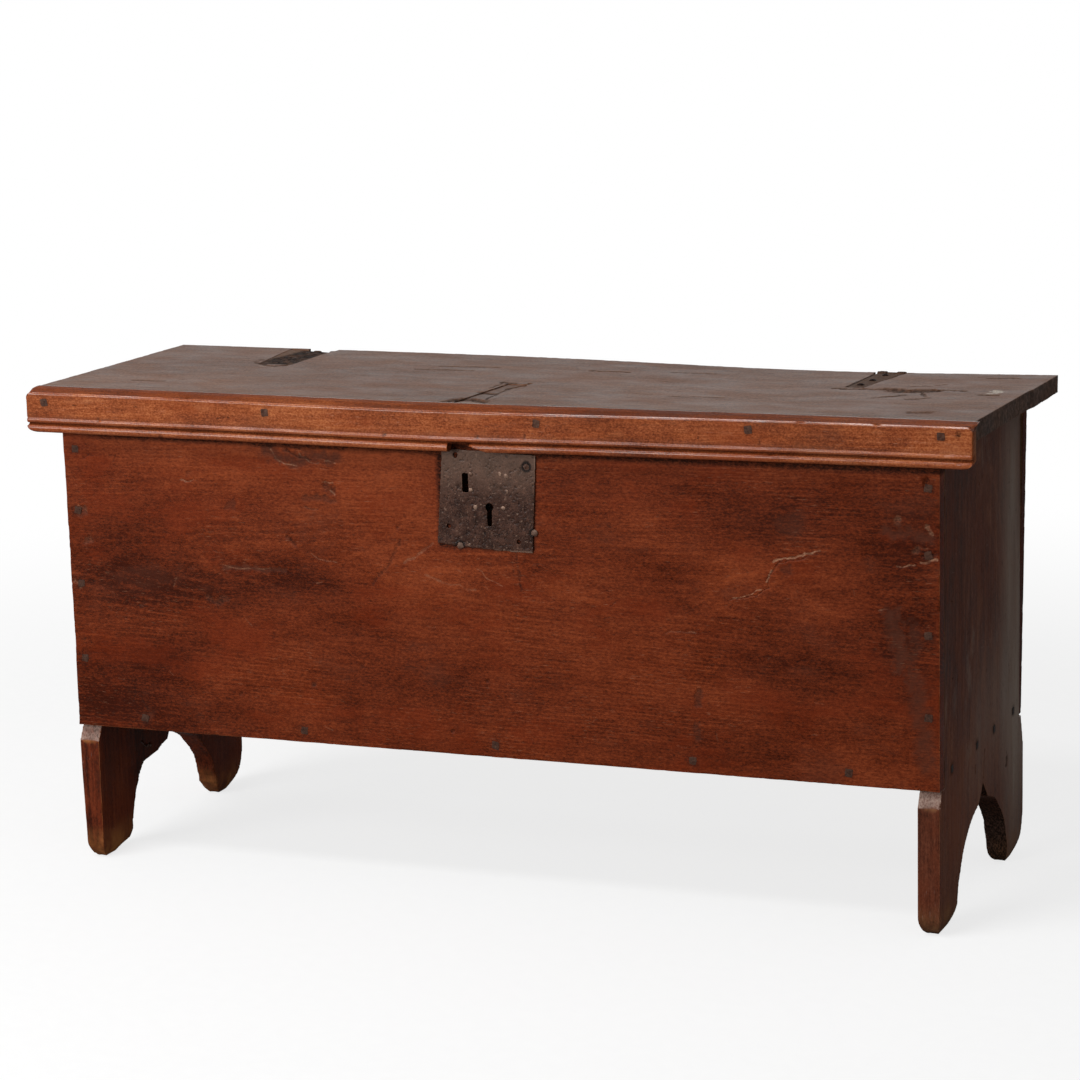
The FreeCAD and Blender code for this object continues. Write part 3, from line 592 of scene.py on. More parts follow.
# The right end board's haze colour also serves its painted sheen
END_PALETTE = tones(RAW, dark=(54, 26, 17), mid=(97, 51, 35), light=(128, 80, 58), red=(110, 50, 28),
                    haze=(148, 130, 117), pore=(42, 22, 15), worn=(146, 102, 68), pale=(172, 148, 136),
                    grime=(24, 15, 11))
LEFT_END_PALETTE = tones(END_PALETTE, dark=(52, 19, 9), mid=(104, 43, 22), light=(132, 64, 36),
                         red=(120, 48, 20), haze=(96, 52, 36), worn=(184, 120, 68))
LID_PALETTE = tones(RAW, dark=(72, 44, 30), mid=(116, 77, 55), light=(146, 103, 78), red=(126, 80, 55),
                    haze=(104, 74, 58), pore=(46, 29, 21), worn=(138, 82, 50), pale=(206, 192, 174),
                    grime=(22, 14, 10))
MOULDING_PALETTE = tones(RAW, dark=(98, 43, 19), mid=(148, 74, 38), light=(190, 112, 66), red=(150, 66, 27),
                         haze=(132, 76, 48), pore=(82, 34, 16), worn=(178, 110, 72), pale=(206, 150, 116),
                         grime=(46, 22, 14))
# The irons' worn colours also serve painted sheen and glints
PLATE_PALETTE = tones(dark=(30, 17, 12), mid=(62, 37, 27), light=(95, 62, 47), rust=(66, 38, 27),
                      worn=(148, 118, 100))
STRAP_PALETTE = tones(dark=(34, 21, 14), mid=(82, 58, 45), light=(112, 86, 70), rust=(88, 54, 37),
                      worn=(128, 101, 85))
WORKS_PALETTE = tones(dark=(30, 22, 19), mid=(66, 52, 45), light=(92, 78, 70), rust=(76, 48, 35),
                      worn=(138, 124, 114))
NAIL_PALETTE = tones(dark=(30, 17, 12), mid=(74, 42, 29), light=(98, 64, 48), rust=(82, 44, 28),
                     worn=(150, 122, 106))

FIGURE = dict(weave=(22, 380, 380), grit=(300, 560, 560), cloud=0.4, mottle=0.6, fibre=0.5, speckle=1.15,
              ring=0.14, shade=1.7, red=0.4, haze=0.3, pore=0.55, rubbed=0.35, spot=0.5)


def front_wood():
    pith = dict(across=0.366, depth=0.03, slope=0.05, spacing=0.0042, sway=0.03, flutter=0.006)
    return wood("front_wood", (X, Z, Y), pith, FIGURE, FRONT_PALETTE, (0.3, 0.5, 0.07))


def end_wood(name, palette):
    pith = dict(across=0.03, depth=0.06, slope=0.08, spacing=0.006, sway=0.02, flutter=0.004)
    figure = dict(FIGURE, weave=(9, 240, 240), fibre=0.8, cloud=0.5, mottle=0.8, speckle=0.7, shade=1.0)
    return wood(name, (Z, Y, X), pith, figure, palette, (0.42, 0.62, 0.08))


def lid_wood():
    pith = dict(across=0.05, depth=0.05, slope=0.04, spacing=0.008, sway=0.03, flutter=0.004)
    figure = dict(FIGURE, weave=(14, 110, 110), grit=(330, 170, 170), cloud=0.5, speckle=1.1, haze=0.35,
                  ring=0.06, shade=1.0)
    return wood("lid_wood", (X, Y, Z), pith, figure, LID_PALETTE, (0.42, 0.58, 0.38))


def moulding_wood():
    pith = dict(across=0.5, depth=0.06, slope=0.03, spacing=0.004, sway=0.02, flutter=0.003)
    figure = dict(FIGURE, grit=(430, 620, 620), cloud=0.5, mottle=1.0, fibre=0.45, speckle=1.4, spot=0.7)
    return wood("moulding_wood", (X, Z, Y), pith, figure, MOULDING_PALETTE, (0.5, 0.7, 0.05), polish=0.16)


# Boards

# Faces around the marks are divided again and again: reach, and width below which a mark needs it
MARK_DIVISIONS = ((5, 12), (2.5, 7), (1.0, 3))
# Depth down to which faces count as the board's face, and angle in degrees above which an edge is sharp
FACE_LAYER = 4 * MM
SHARP_ANGLE = 48


def board(node, cell):
    return remeshed(f"worn_{node}", without_nail_holes(node), cell)


def wear_board(piece, cell, seed, marks=(), plane=(X, Z), face=(Y, -1), nails=(), edge_loss=0.7, shades=()):
    """Gives a board hand-planed waves, nicked edges, knocks, nail stains, broad shades and marks, and darkens
    its inner corners and knocks with grime and painted shade.
    """
    mesh = piece.data
    flat = list(plane)
    axis, way = face
    corners = points_of(mesh)[:, axis]
    level = corners.min() if way < 0 else corners.max()
    for reach, widest in MARK_DIVISIONS if marks else ():
        middles = middles_of(mesh)
        picked = [item for item in marks if item["width"] < widest]
        shallow = np.abs(middles[:, axis] - level) < FACE_LAYER
        divide(mesh, near_marks(middles, flat, picked, reach) & shallow)
    for _ in range(2):
        divide_edges(mesh, cell)
    points = points_of(mesh)
    normals = normals_of(mesh)
    rounded = convexity(mesh, cell, 0)
    edge = step(rounded, 0.02, 0.08)
    chipped = fractal(points, 26 * MM, seed + 1)
    chips = step(fractal(points, 11 * MM, seed + 6), 0.15, 0.6)
    waves = 0.2 * MM * (1 + fractal(points, (220 * MM, 70 * MM, 70 * MM), seed))
    loss = edge * edge_loss * MM * (0.25 + np.clip(chipped, 0, 1) + 1.3 * chips)
    knocks = dents(points, 90, points.min(0), points.max(0), (2, 7), (0.2, 0.8), seed + 2)
    facing = step(normals[:, axis] * way, 0.5, 0.9)
    shown = apply_marks(points, facing, flat, marks, seed + 3)
    dark = shown["dark"]
    ragged = 1 + 0.6 * fractal(points, 7 * MM, seed + 5)
    for place in nails:
        distance = np.linalg.norm(points - place, axis=1)
        waves *= step(distance, 5 * MM, 16 * MM)
        knocks *= step(distance, 5 * MM, 9 * MM)
        dark = np.maximum(dark, 0.55 * step(-distance, -9.5 * MM * ragged, -4 * MM))
    move_points(mesh, points - normals * (waves + loss + knocks + shown["depth"])[:, None])
    # Inner corners and knocks are darkened: grime, and painted shade in the hollows
    grime = 0.5 * step(-rounded, 0.02, 0.1) + 0.2 * step(knocks, 0.25 * MM, 0.8 * MM)
    paint(mesh, dark=np.maximum(dark, grime), pale=shown["pale"], film=shown["film"],
          wear=edge * (0.4 + 0.5 * chipped + 0.4 * chips), shade=0.5 + soft_areas(points, flat, shades))
    mesh.set_sharp_from_angle(angle=np.radians(SHARP_ANGLE))


def soft_areas(points, plane, areas):
    """Sum of soft-edged areas, each with its middle and span in the plane and its strength."""
    flat = points[:, plane] / MM
    total = np.zeros(len(points))
    for middle, span, amount in areas:
        total += amount * np.exp(-np.sum(((flat - middle) / span) ** 2, axis=1))
    return total


def near_marks(middles, flat, marks, reach):
    """Whether each place lies within reach of one of the marks."""
    near = np.zeros(len(middles), bool)
    for item in marks:
        route = np.array(item["route"]) * MM
        margin = (item["width"] + reach) * MM
        some = np.flatnonzero(((middles[:, flat] > route.min(0) - margin)
                               & (middles[:, flat] < route.max(0) + margin)).all(1))
        near[some] |= stroke_distance(middles[some][:, flat], item["route"]) < margin
    return near


def nail_heads(node, axis, way):
    """Middle of each nail's head on the board's face."""
    places = []
    for part in loose_parts(node):
        place = (part.min(0) + part.max(0)) / 2
        place[axis] = part[:, axis].min() if way < 0 else part[:, axis].max()
        places.append(place)
    return places


def place_piece(piece, body, node, material):
    piece.data.materials.clear()
    piece.data.materials.append(material)
    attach(piece, body)
    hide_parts(node)


# Places of the front board's marks: x and z
FRONT_MARKS = marks_of(
    # Painted shade: the front board darkened where it shows through the moulding's notch
    (((-34, 512), (-20, 513), (-6, 512)), 7, 0, 1),
    (((-262, 497), (-235, 490), (-205, 492), (-176, 496)), 9, 0.3, 0.35, 0, 0.8),
    (((-240, 503), (-226, 494), (-206, 490)), 2.5, 0.6, 0.8),
    (((-256, 500), (-250, 490), (-240, 484), (-224, 482)), 0.8, 0.3, 0, 0.7),
    (((-222, 503), (-218, 493), (-208, 487), (-196, 487)), 0.7, 0.3, 0, 0.55),
    (((-190, 489), (-176, 487)), 0.8, 0.2, 0, 0.5),
    (((-188, 462), (-180, 455)), 5.5, 1.2, 0.6, 0, 0.4),
    (((-193, 465), (-180, 465)), 0.8, 0.2, 0, 0.7),
    (((-184, 456), (-178, 451)), 1, 0.3, 0, 0.9),
    (((-216, 446), (-196, 447), (-178, 444)), 4, 0.3, 0.35, 0, 0.5),
    (((-216, 436), (-200, 434)), 1.1, 0.3, 0.5, 0.2),
    (((-371, 460), (-362, 458), (-355, 461)), 1.2, 0.5, 0.2, 0.6),
    ((-362, 468), 3, 0.3, 0.5),
    ((-312, 432), 6, 0.4, 0.45, 0, 0.4),
    (((-238, 400), (-231, 393)), 3.4, 0.8, 0.75),
    (((-210, 383), (-196, 376), (-178, 374)), 0.7, 0.2, 0, 0.35),
    (((-322, 360), (-280, 362), (-243, 361)), 3.2, 0.2, 0.25, 0, 0.7),
    (((-322, 364), (-290, 361), (-262, 363)), 0.7, 0.2, 0, 0.4),
    ((-429, 312), 3.6, 0.5, 0.75),
    (((-343, 326), (-330, 320), (-318, 324)), 4, 0.5, 0.5, 0.1),
    ((-363, 359), 3, 0.4, 0.5),
    ((-306, 213), 2.6, 0.5, 0.7),
    ((-214, 230), 3, 0.5, 0.55, 0, 0.5),
    ((-152, 257), 2.6, 0.4, 0.6),
    ((-102, 418), 2.6, 0.4, 0.6),
    ((-501, 416), 6, 0.8, 0.4, 0.2, 0.6),
    (((-504, 424), (-492, 416)), 0.9, 0.3, 0, 0.7),
    ((-495, 383), 5, 0.8, 0.5, 0.2),
    (((-514, 334), (-508, 328)), 2.6, 1, 0, 0.9),
    ((-494, 334), 5, 0.4, 0.55),
    (((-440, 222), (-446, 196)), 1.2, 0.2, 0.5),
    (((-436, 205), (-426, 184)), 1.2, 0.2, 0.5),
    ((-430, 178), 7, 0.4, 0.25, 0, 0.6),
    (((-60, 402), (-78, 388), (-96, 378)), 1.6, 0.2, 0, 0.3, 0.3),
    (((-134, 353), (-116, 372), (-106, 391), (-100, 404)), 2.6, 0.2, 0.55),
    (((-70, 366), (-40, 356), (-10, 352)), 1.4, 0.1, 0, 0.25, 0.2),
    (((40, 396), (43, 376), (45, 356)), 2.4, 0.2, 0.6),
    (((36, 392), (36, 372)), 1, 0.2, 0.45),
    (((-8, 376), (8, 364), (22, 358)), 0.7, 0.2, 0, 0.45),
    ((1, 249), 2.4, 1, 0.8),
    ((-43, 188), 2.2, 0.8, 0.75),
    (((287, 358), (304, 361), (322, 368), (331, 374)), 0.7, 0.5, 0.6),
    (((290, 360), (306, 364), (322, 371)), 0.7, 0.1, 0, 1),
    (((331, 374), (330, 384), (337, 394), (344, 403)), 1.1, 0.5, 0.6),
    (((328, 380), (334, 393)), 0.9, 0.1, 0, 1.2),
    (((336, 402), (348, 407), (360, 408), (372, 413), (388, 417)), 1.2, 0.2, 0.1, 1.5),
    (((342, 401), (360, 405), (386, 413)), 0.7, 0.4, 0.5),
    ((348, 394), 6, 0.3, 0.5, 0, 0.4),
    ((352, 442), 13, 0.1, 0.3, 0, 0.5),
    (((462, 442), (482, 440), (508, 437)), 8, 0.3, 0.25, 0, 0.8),
    ((471, 454), 3.4, 0.7, 0.4, 0.5),
    (((505, 448), (511, 441)), 2.6, 0.7, 0.5, 0.6),
    ((491, 423), 3.5, 0.6, 0.7, 0.3),
    (((472, 405), (492, 407)), 0.8, 0.4, 0, 0.85),
    (((498, 410), (516, 414)), 1.3, 0.5, 0.2, 0.95),
    (((500, 417), (514, 420)), 2.6, 0.6, 0.75),
    (((452, 356), (462, 358)), 0.8, 0.3, 0, 0.5),
    (((466, 352), (472, 326), (476, 296)), 11, 0.1, 0.3, 0, 0.85),
    (((490, 340), (494, 318), (486, 300)), 8, 0.2, 0.4, 0, 0.6),
    (((492, 284), (500, 240), (506, 190)), 12, 0.1, 0.15, 0, 0.75),
    (((250, 254), (250, 240)), 4, 0.6, 0.45, 0, 0.6),
    (((246, 214), (248, 204)), 6, 0.4, 0.4, 0, 0.5),
    (((213, 317), (230, 320), (248, 319)), 0.8, 0.3, 0.2, 0.4),
    ((503, 496), 4, 2.5, 0.95),
    (((508, 500), (514, 499)), 0.9, 0.3, 0, 0.8)
) + scratches(90, (-505, 180), (505, 500), 83)

# Broad darker and lighter areas of the front: middle and span in x and z, and how much lighter
FRONT_SHADES = [
    # Painted light: this first area lightens the strip under the moulding, where its shadow falls
    ((0, 512), (900, 16), 0.18),
    ((-470, 180), (220, 50), -0.08),
    ((250, 330), (260, 120), 0.04),
    ((-340, 478), (150, 36), 0.14),
    ((-120, 455), (90, 50), 0.1),
    ((-450, 440), (60, 70), -0.06),
    ((-460, 335), (70, 50), -0.14),
    ((-380, 335), (110, 26), -0.13),
    ((-230, 352), (90, 20), -0.1),
    ((-385, 252), (60, 26), -0.14),
    ((-330, 238), (45, 14), 0.1),
    ((-470, 210), (60, 60), -0.1),
    ((-230, 225), (50, 60), 0.08),
    ((-90, 360), (80, 40), 0.1),
    ((60, 300), (160, 60), 0.05),
    ((0, 245), (80, 25), -0.05),
    ((180, 430), (90, 40), 0.04),
    ((350, 452), (80, 30), -0.12),
    ((295, 390), (40, 22), 0.12),
    ((400, 300), (120, 60), -0.08),
    ((490, 430), (45, 80), -0.12),
    ((490, 320), (45, 50), -0.12),
    ((250, 200), (120, 40), -0.05),
    ((450, 190), (70, 40), 0.04),
]

# Places of the lid's marks: x and y
LID_MARKS = marks_of(
    ((-506, -134), 1.6, 0.2, 0, 0.55),
    ((-503, -70), 1.6, 0.2, 0, 0.45),
    ((-500, -17), 1.6, 0.2, 0, 0.55),
    (((-24, -112), (-22, -70), (-20, -36)), 11, 0.2, 0.1, 0, 0.6),
    (((-11, -132), (-15, -89), (-19, -48)), 1.8, 0.7, 0.7),
    (((-19, -48), (-13, -28), (-8, -9)), 2.8, 1, 1),
    (((-39, -53), (-38, -34), (-37, -13)), 1.8, 0.5, 0.6),
    (((-40, -12), (-24, -16)), 5, 0.7, 0.9),
    (((-32, -86), (-20, -87)), 6.5, 1, 0.95),
    (((-46, -158), (-42, -143), (-35, -133), (-26, -131), (-13, -138), (-4, -146)), 7.5, 2, 1),
    (((-36, -160), (-28, -153), (-18, -152), (-9, -158)), 3.4, 0.4, 0, 0.9),
    (((-36, -170), (-24, -163), (-12, -166)), 3.2, 0.8, 0.6),
    (((-50, -160), (-60, -165)), 3, 0.4, 0.5),
    (((24, 101), (71, 104)), 2.8, 0.6, 0.6),
    (((338, 44), (356, 42), (373, 47)), 4, 1.2, 1),
    (((373, 47), (386, 44), (398, 43)), 2.8, 0.6, 0.8),
    (((396, 48), (414, 45), (432, 44), (441, 49), (457, 50)), 9, 1.8, 1),
    (((408, 34), (422, 31), (436, 33), (448, 38)), 7, 1.4, 1),
    (((412, 26), (424, 27)), 4, 0.6, 0.5),
    (((441, 36), (446, 20), (452, 2)), 2.6, 0.8, 0.85),
    (((455, 47), (468, 52), (486, 48)), 3.4, 0.9, 0.9),
    (((406, -14), (422, -4), (428, 8)), 4.4, 0.6, 0.7),
    ((402, -20), 4, 0.4, 0.45),
    (((441, -24), (450, -20)), 5, 0.4, 0.6),
    (((456, -14), (460, -9)), 3.6, 0.4, 0.5),
    (((418, 74), (437, 81), (452, 95)), 2.6, 0.4, 0.4),
    (((520, 36), (524, 44), (522, 52)), 6.5, 0.4, 0, 2.6),
    (((512, 22), (532, 24)), 3.6, 0.8, 0.8),
    (((470, -116), (490, -112)), 5, 0.6, 0.5),
    (((-470, -100), (-430, -98)), 2.6, 0.4, 0.4),
    (((180, -60), (240, -57)), 3, 0.4, 0.4),
    (((-180, 60), (-110, 64)), 3, 0.4, 0.4),
    (((120, 120), (170, 123)), 3, 0.4, 0.4),
    (((488, 152), (520, 154)), 4, 0.5, 0.55),
    (((-160, 88), (-90, 96)), 4, 0.4, 0.45),
    (((470, -120), (492, -118)), 5, 0.5, 0.5),
    (((-390, 64), (-370, 47), (-355, 43), (-346, 52)), 4, 0.8, 0.85),
    (((-376, 42), (-362, 38)), 1.6, 0.2, 0, 0.6),
    (((-346, 56), (-346, 100), (-346, 140)), 1.9, 0.6, 0.9),
    (((-394, 70), (-396, 90)), 5, 0.3, 0.35)
) + scratches(120, (-540, -165), (540, 175), 89)


# Length of the straps' necks between their flats and the middle of their knuckles
STRAP_NECK = 7.4


def strap_outline(node):
    """Painted shade in the gaps and worn edges in the lid around a let-in hinge strap."""
    corners = np.concatenate(loose_parts(node)) / MM
    top = corners[corners[:, Z] > corners[:, Z].max() - 0.1]
    root = top[:, Y].max() - STRAP_NECK
    flat = top[top[:, Y] < root]
    near = flat[flat[:, Y] > flat[:, Y].max() - 1]
    far = flat[flat[:, Y] < flat[:, Y].min() + 1]
    loop = [(near[:, X].min(), near[0, Y]), (far[:, X].min(), far[0, Y]),
            (far[:, X].max(), far[0, Y]), (near[:, X].max(), near[0, Y])]
    return mark(loop, 1.7, 0.4, 0.97)


# The lid's top is worn hollow: depth, middle and half span of the hollow at the back and at the front
BACK_HOLLOW = (5.8, 280, 260)
FRONT_HOLLOW = (1.6, -60, 300)
LID_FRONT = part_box("lid_board")[0].y
LID_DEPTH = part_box("lid_board")[1].y - LID_FRONT
LID_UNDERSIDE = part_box("lid_board")[0].z
LID_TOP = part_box("lid_board")[1].z


def hollow(across, span):
    depth, middle, half = span
    return depth * MM * np.exp(-((across / MM - middle) / half) ** 2)


def lid_hollow(points):
    """How far the lid's top lies below a flat one."""
    share = np.clip((points[:, Y] - LID_FRONT) / LID_DEPTH, 0, 1)
    return share * hollow(points[:, X], BACK_HOLLOW) + (1 - share) * hollow(points[:, X], FRONT_HOLLOW)


# How far the front board's upper left corner and the upper right and lower right corners of the back lean out
FRONT_LEAN = 3.2
BACK_LEAN = (3.4, -2.6)
# Painted shadow along the front board below the moulding: x, and z of its lower edge
FOOT_SHADOW = ((-519, -340, -60, 60, 200, 519), (506, 502, 500.5, 500.5, 502.5, 503.5))


# How far the lock plate's edges lie beyond the painted shade on the wood behind it
PLATE_COVER = 3 * MM


def front_board(material):
    cell = 4.8 * MM
    piece = board("front_board", cell)
    mesh = piece.data
    nails = nail_heads("front_board_nails", Y, -1)
    wear_board(piece, cell, 11, FRONT_MARKS, (X, Z), (Y, -1), nails, shades=FRONT_SHADES)
    points = points_of(mesh)
    low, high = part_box("front_board")
    rise = step(points[:, Z], low.z + 0.2 * (high.z - low.z), high.z)
    points[:, X] -= FRONT_LEAN * MM * rise * step(-points[:, X], 0.8 * high.x, high.x)
    move_points(mesh, points)
    plate_low, plate_high = (np.array(corner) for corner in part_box("lock_plate"))
    # Painted shade: the wood behind the lock plate is darkened, so that the plate's nail holes show dark
    behind = ((points > plate_low + PLATE_COVER) & (points < plate_high - PLATE_COVER))[:, [X, Z]].all(1)
    # Painted shadow: a dark band below the moulding, above a ragged lower edge, fading towards the moulding
    shadow_edge = np.interp(points[:, X] / MM, *FOOT_SHADOW) * MM
    ragged = points[:, Z] + 1.5 * MM * fractal(points, 20 * MM, 13)
    moulding_shadow = 0.95 * step(ragged, shadow_edge - 1 * MM, shadow_edge + 2.5 * MM)
    moulding_shadow *= 1 - 0.7 * step(points[:, Z], 512 * MM, 522 * MM)
    paint_over(mesh, dark=np.maximum(moulding_shadow, behind))
    inside = high.y - 3 * MM
    paint(mesh, raw=step(points_of(mesh)[:, Y], inside, inside + 2 * MM))
    place_piece(piece, "case", "front_board", material)


# Painted sheen, marks, and darker and lighter areas of the end boards: y and z
END_SHEEN = {
    "right": [((138, 400), (50, 220), 0.85), ((150, 140), (46, 130), 0.8), ((75, 210), (50, 70), 0.36),
              ((-5, 190), (45, 80), 0.32)],
    "left": [],
}
END_MARKS = {
    "right": marks_of(
        (((111, 128), (111, 119)), 4.4, 1, 0.95),
        (((2, 122), (7, 140), (12, 162)), 1.3, 0.8, 0.9),
        (((-29, 153), (-29, 146)), 2.2, 0.5, 0.6)
    ) + scratches(50, (-165, 30), (165, 500), 97),
    "left": marks_of(
        (((-74, 117), (-66, 111), (-55, 109)), 2, 1.2, 0.9)
    ) + scratches(50, (-165, 30), (165, 500), 101),
}
END_SHADES = {
    "right": [((-140, 330), (60, 220), -0.08), ((-130, 90), (70, 90), 0.3), ((20, 140), (170, 100), 0.22)],
    "left": [((-120, 80), (40, 60), 0.2), ((-70, 100), (30, 40), -0.06)],
}
# Height up to which the toes are worn round, and how much narrower they end
TOE_HEIGHT = 22
TOE_LOSS = (0.5, 0.4)
ARCH_TOP = 126
# Heights between which the feet are worn pale to their toes, and those of the shoulders above, painted pale
# as a sheen
TOE_WEAR = (4, 44)
SHOULDER_SHEEN = (165, 172)
# Width of the feet's outer edges, and how dark the arch's inner face is painted as shade
FOOT_EDGE = 12
ARCH_SHADE = {"left": 0.15, "right": 0.97}
# Thickness of the feet, how much the left front foot is thinned to its toe, and from which height
FOOT_THICK = 25 * MM
FOOT_TAPER = 3.2
TAPER_TOP = 150
# How far the arch's edge is broken back or stands out at each height: heights, front foot, rear foot
ARCH_BREAKS = {
    "left": ((0, 5, 9, 30, 55, 78, 93, 97, 112, 124), (-17, -13, 3, 0, -4, -13, -20, 6, 3, 0),
             (2, 1, 2, 3, 0, 2, 0, 1, 0, 0)),
    "right": ((0, 12, 22, 40, 60, 80, 100, 124), (-1, 2, 1, 0, 1, -1, 0, 0), (3, 5, 2, 3, 0, 2, 0, 0)),
}


# Height and number of the slices in which the arch's edges are looked for
SLICE = 4 * MM
SLICES = 41


def broken_arch(points, side):
    """Moves the arch's edges as far as they are broken, and less the farther a place is from them."""
    heights, *feet = ARCH_BREAKS[side]
    moved = points.copy()
    level = np.clip((points[:, Z] / SLICE).astype(int), 0, SLICES - 1)
    ragged = 2.0 * fractal(points, (60 * MM, 60 * MM, 9 * MM), 29)
    for way, breaks in zip((1, -1), feet):
        foot = (way * points[:, Y] < 0) & (points[:, Z] < heights[-1] * MM)
        reach = np.full(SLICES, -1.0)
        outside = np.full(SLICES, 1.0)
        np.maximum.at(reach, level[foot], way * points[foot, Y])
        np.minimum.at(outside, level[foot], way * points[foot, Y])
        share = (way * points[:, Y] - outside[level]) / np.maximum(reach - outside, 1 * MM)[level]
        broken = np.interp(points[:, Z] / MM, heights, breaks) + ragged
        moved[:, Y] += np.where(foot, way * broken * MM * np.clip(share, 0, 1), 0)
    return moved


def worn_toes(points):
    """Rounds the two feet to their toes."""
    moved = points.copy()
    for foot in (points[:, Y] < 0, points[:, Y] > 0):
        toe = points[foot & (points[:, Z] < 2 * MM)]
        middle = (toe.min(0) + toe.max(0)) / 2
        share = np.clip(1 - points[:, Z] / (TOE_HEIGHT * MM), 0, 1) ** 2
        for axis, loss in zip((X, Y), TOE_LOSS):
            drawn = points[:, axis] - (points[:, axis] - middle[axis]) * loss * share
            moved[:, axis] = np.where(foot, drawn, moved[:, axis])
    return moved


def end_board(side, way, material):
    cell = 3.3 * MM
    node = f"{side}_end_board"
    piece = board(node, cell)
    mesh = piece.data
    nails = nail_heads(f"{side}_end_nails", X, way)
    wear_board(piece, cell, 23 + way, END_MARKS[side], (Y, Z), (X, 1), nails, 1.1, END_SHADES[side])
    points = points_of(mesh)
    normals = normals_of(mesh)
    uneven = fractal(points, 9 * MM, 27 + way)
    toe = step(-points[:, Z], -TOE_WEAR[1] * MM, -TOE_WEAR[0] * MM) * np.clip(0.85 + uneven, 0, 1)
    shoulder_sheen = step(normals[:, Z], 0.2, 0.42) * step(-points[:, Z], -SHOULDER_SHEEN[1] * MM, -SHOULDER_SHEEN[0] * MM)
    cut = step(-points[:, Z], -ARCH_TOP * MM, -(ARCH_TOP - 8) * MM) * step(np.abs(normals[:, Y]), 0.25, 0.6)
    inner = cut * (np.abs(points[:, Y]) < np.abs(points[:, Y]).max() - FOOT_EDGE * MM)
    streaks = 0.9 + 0.5 * fractal(points, (12 * MM, 12 * MM, 110 * MM), 33)
    # Painted light: the arch's inner face is darkened as shade, the sheen areas and the shoulders are painted
    # pale as a sheen
    paint_over(mesh, wear=toe, dark=ARCH_SHADE[side] * inner,
               film=soft_areas(points, [Y, Z], END_SHEEN[side]) * streaks,
               pale=0.85 * shoulder_sheen * np.clip(0.8 + 0.5 * uneven, 0, 1))
    # Painted shade: the faces that look to the front are made darker
    paint(mesh, shade=painted(mesh, "shade") - 0.18 * step(-normals[:, Y], 0.6, 0.9))
    moved = broken_arch(worn_toes(points), side)
    if side == "left":
        outer = np.clip((moved[:, X].min() + FOOT_THICK - moved[:, X]) / FOOT_THICK, 0, 1)
        moved[:, X] += FOOT_TAPER * MM * outer * step(-moved[:, Z], -TAPER_TOP * MM, 0) * (moved[:, Y] < 0)
    move_points(mesh, moved)
    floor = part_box("bottom_board")[1].z
    inside = step(-way * normals_of(mesh)[:, X], 0.4, 0.8)
    paint(mesh, raw=inside * step(points_of(mesh)[:, Z], floor - 5 * MM, floor))
    place_piece(piece, "case", node, material)


# How much darker the ends of the back and bottom boards are painted
END_DARKENING = {"back_board": 0.6, "bottom_board": 0.0}


def plain_board(node, axes, face, seed, material):
    """A board that is bare apart from its ends; the back's right end leans."""
    cell = 5.5 * MM
    piece = board(node, cell)
    mesh = piece.data
    wear_board(piece, cell, seed, (), axes, face)
    if node == "back_board":
        points = points_of(mesh)
        low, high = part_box(node)
        lean = np.interp(points[:, Z], (low.z, high.z), BACK_LEAN[::-1]) * MM
        points[:, X] += lean * step(points[:, X], 0.9 * high.x, high.x)
        move_points(mesh, points)
    ends = step(np.abs(normals_of(mesh)[:, X]), 0.4, 0.7)
    paint_over(mesh, dark=END_DARKENING[node] * ends)
    paint(mesh, raw=1 - ends)
    place_piece(piece, "case", node, material)


# Lines of the lid's uneven right and left ends: y and x
LID_RIGHT_LINE = ((-180, 553), (59, 555), (75, 557), (190, 557.7))
LID_LEFT_LINE = ((-180, -557.7), (190, -553.5))


def trim_ends(points):
    """Draws the lid's ends in to their uneven lines."""
    for line, way in ((LID_RIGHT_LINE, 1), (LID_LEFT_LINE, -1)):
        ways, reach = np.array(line).T * MM
        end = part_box("lid_board")[1].x * way
        shift = np.interp(points[:, Y], ways, reach) - end
        points[:, X] += shift * step(way * points[:, X], 0.8 * abs(end), abs(end))


def lid_board(material):
    cell = 5.1 * MM
    piece = board("lid_board", cell)
    mesh = piece.data
    marks = LID_MARKS + [strap_outline("right_hinge_strap")]
    wear_board(piece, cell, 31, marks, (X, Y), (Z, 1))
    paint_over(mesh, dark=0.6 * step(np.abs(normals_of(mesh)[:, X]), 0.5, 0.9))
    points = points_of(mesh)
    share = np.clip((points[:, Z] - LID_UNDERSIDE) / (LID_TOP - LID_UNDERSIDE), 0, 1)
    bed = step(-points[:, Y], -LID_FRONT - 15 * MM, -LID_FRONT - 12 * MM)
    points[:, Z] -= share * (lid_hollow(points) + CAP_BED * MM * bed)
    trim_ends(points)
    move_points(mesh, points)
    paint(mesh, raw=0.6 * step(-normals_of(mesh)[:, Z], 0.4, 0.8))
    place_piece(piece, "lid", "lid_board", material)


# Moulding along the lid's front edge
MOULDING = dict(bead_height=8, bead_setback=3.4, bead_radius=4.2, quirk_depth=2.6, quirk_height=2,
                reed_height=5, reed_setback=1.75, reed_radius=2.7, step=1.0, fascia_setback=0.7,
                nose_radius=20, nose_drop=1.9, nose_width=2.4, nose_lean=34, cap=16,
                corner_top=9, corner_foot=7, corner_run=12)
# The notch's two sides and height, and the height and fall of the slanting break beside it
NOTCH = (-32, -8)
NOTCH_HEIGHT = 9
BREAK_HEIGHT = 7
BREAK_FALL = 0.33
# Rows of the mesh: spacing, distance from the notch's sides, and those at the ends with their inset
ROW_PITCH = 2.5
NOTCH_LIP = 0.4
END_ROWS = ((0, 0.5), (0.3, 0.2), (0.8, 0.05), (1.6, 0), (2.7, 0), (4, 0), (5.6, 0), (7.8, 0))
# Depth by which the lid's front strip lies below the moulding's cap
CAP_BED = 1.3
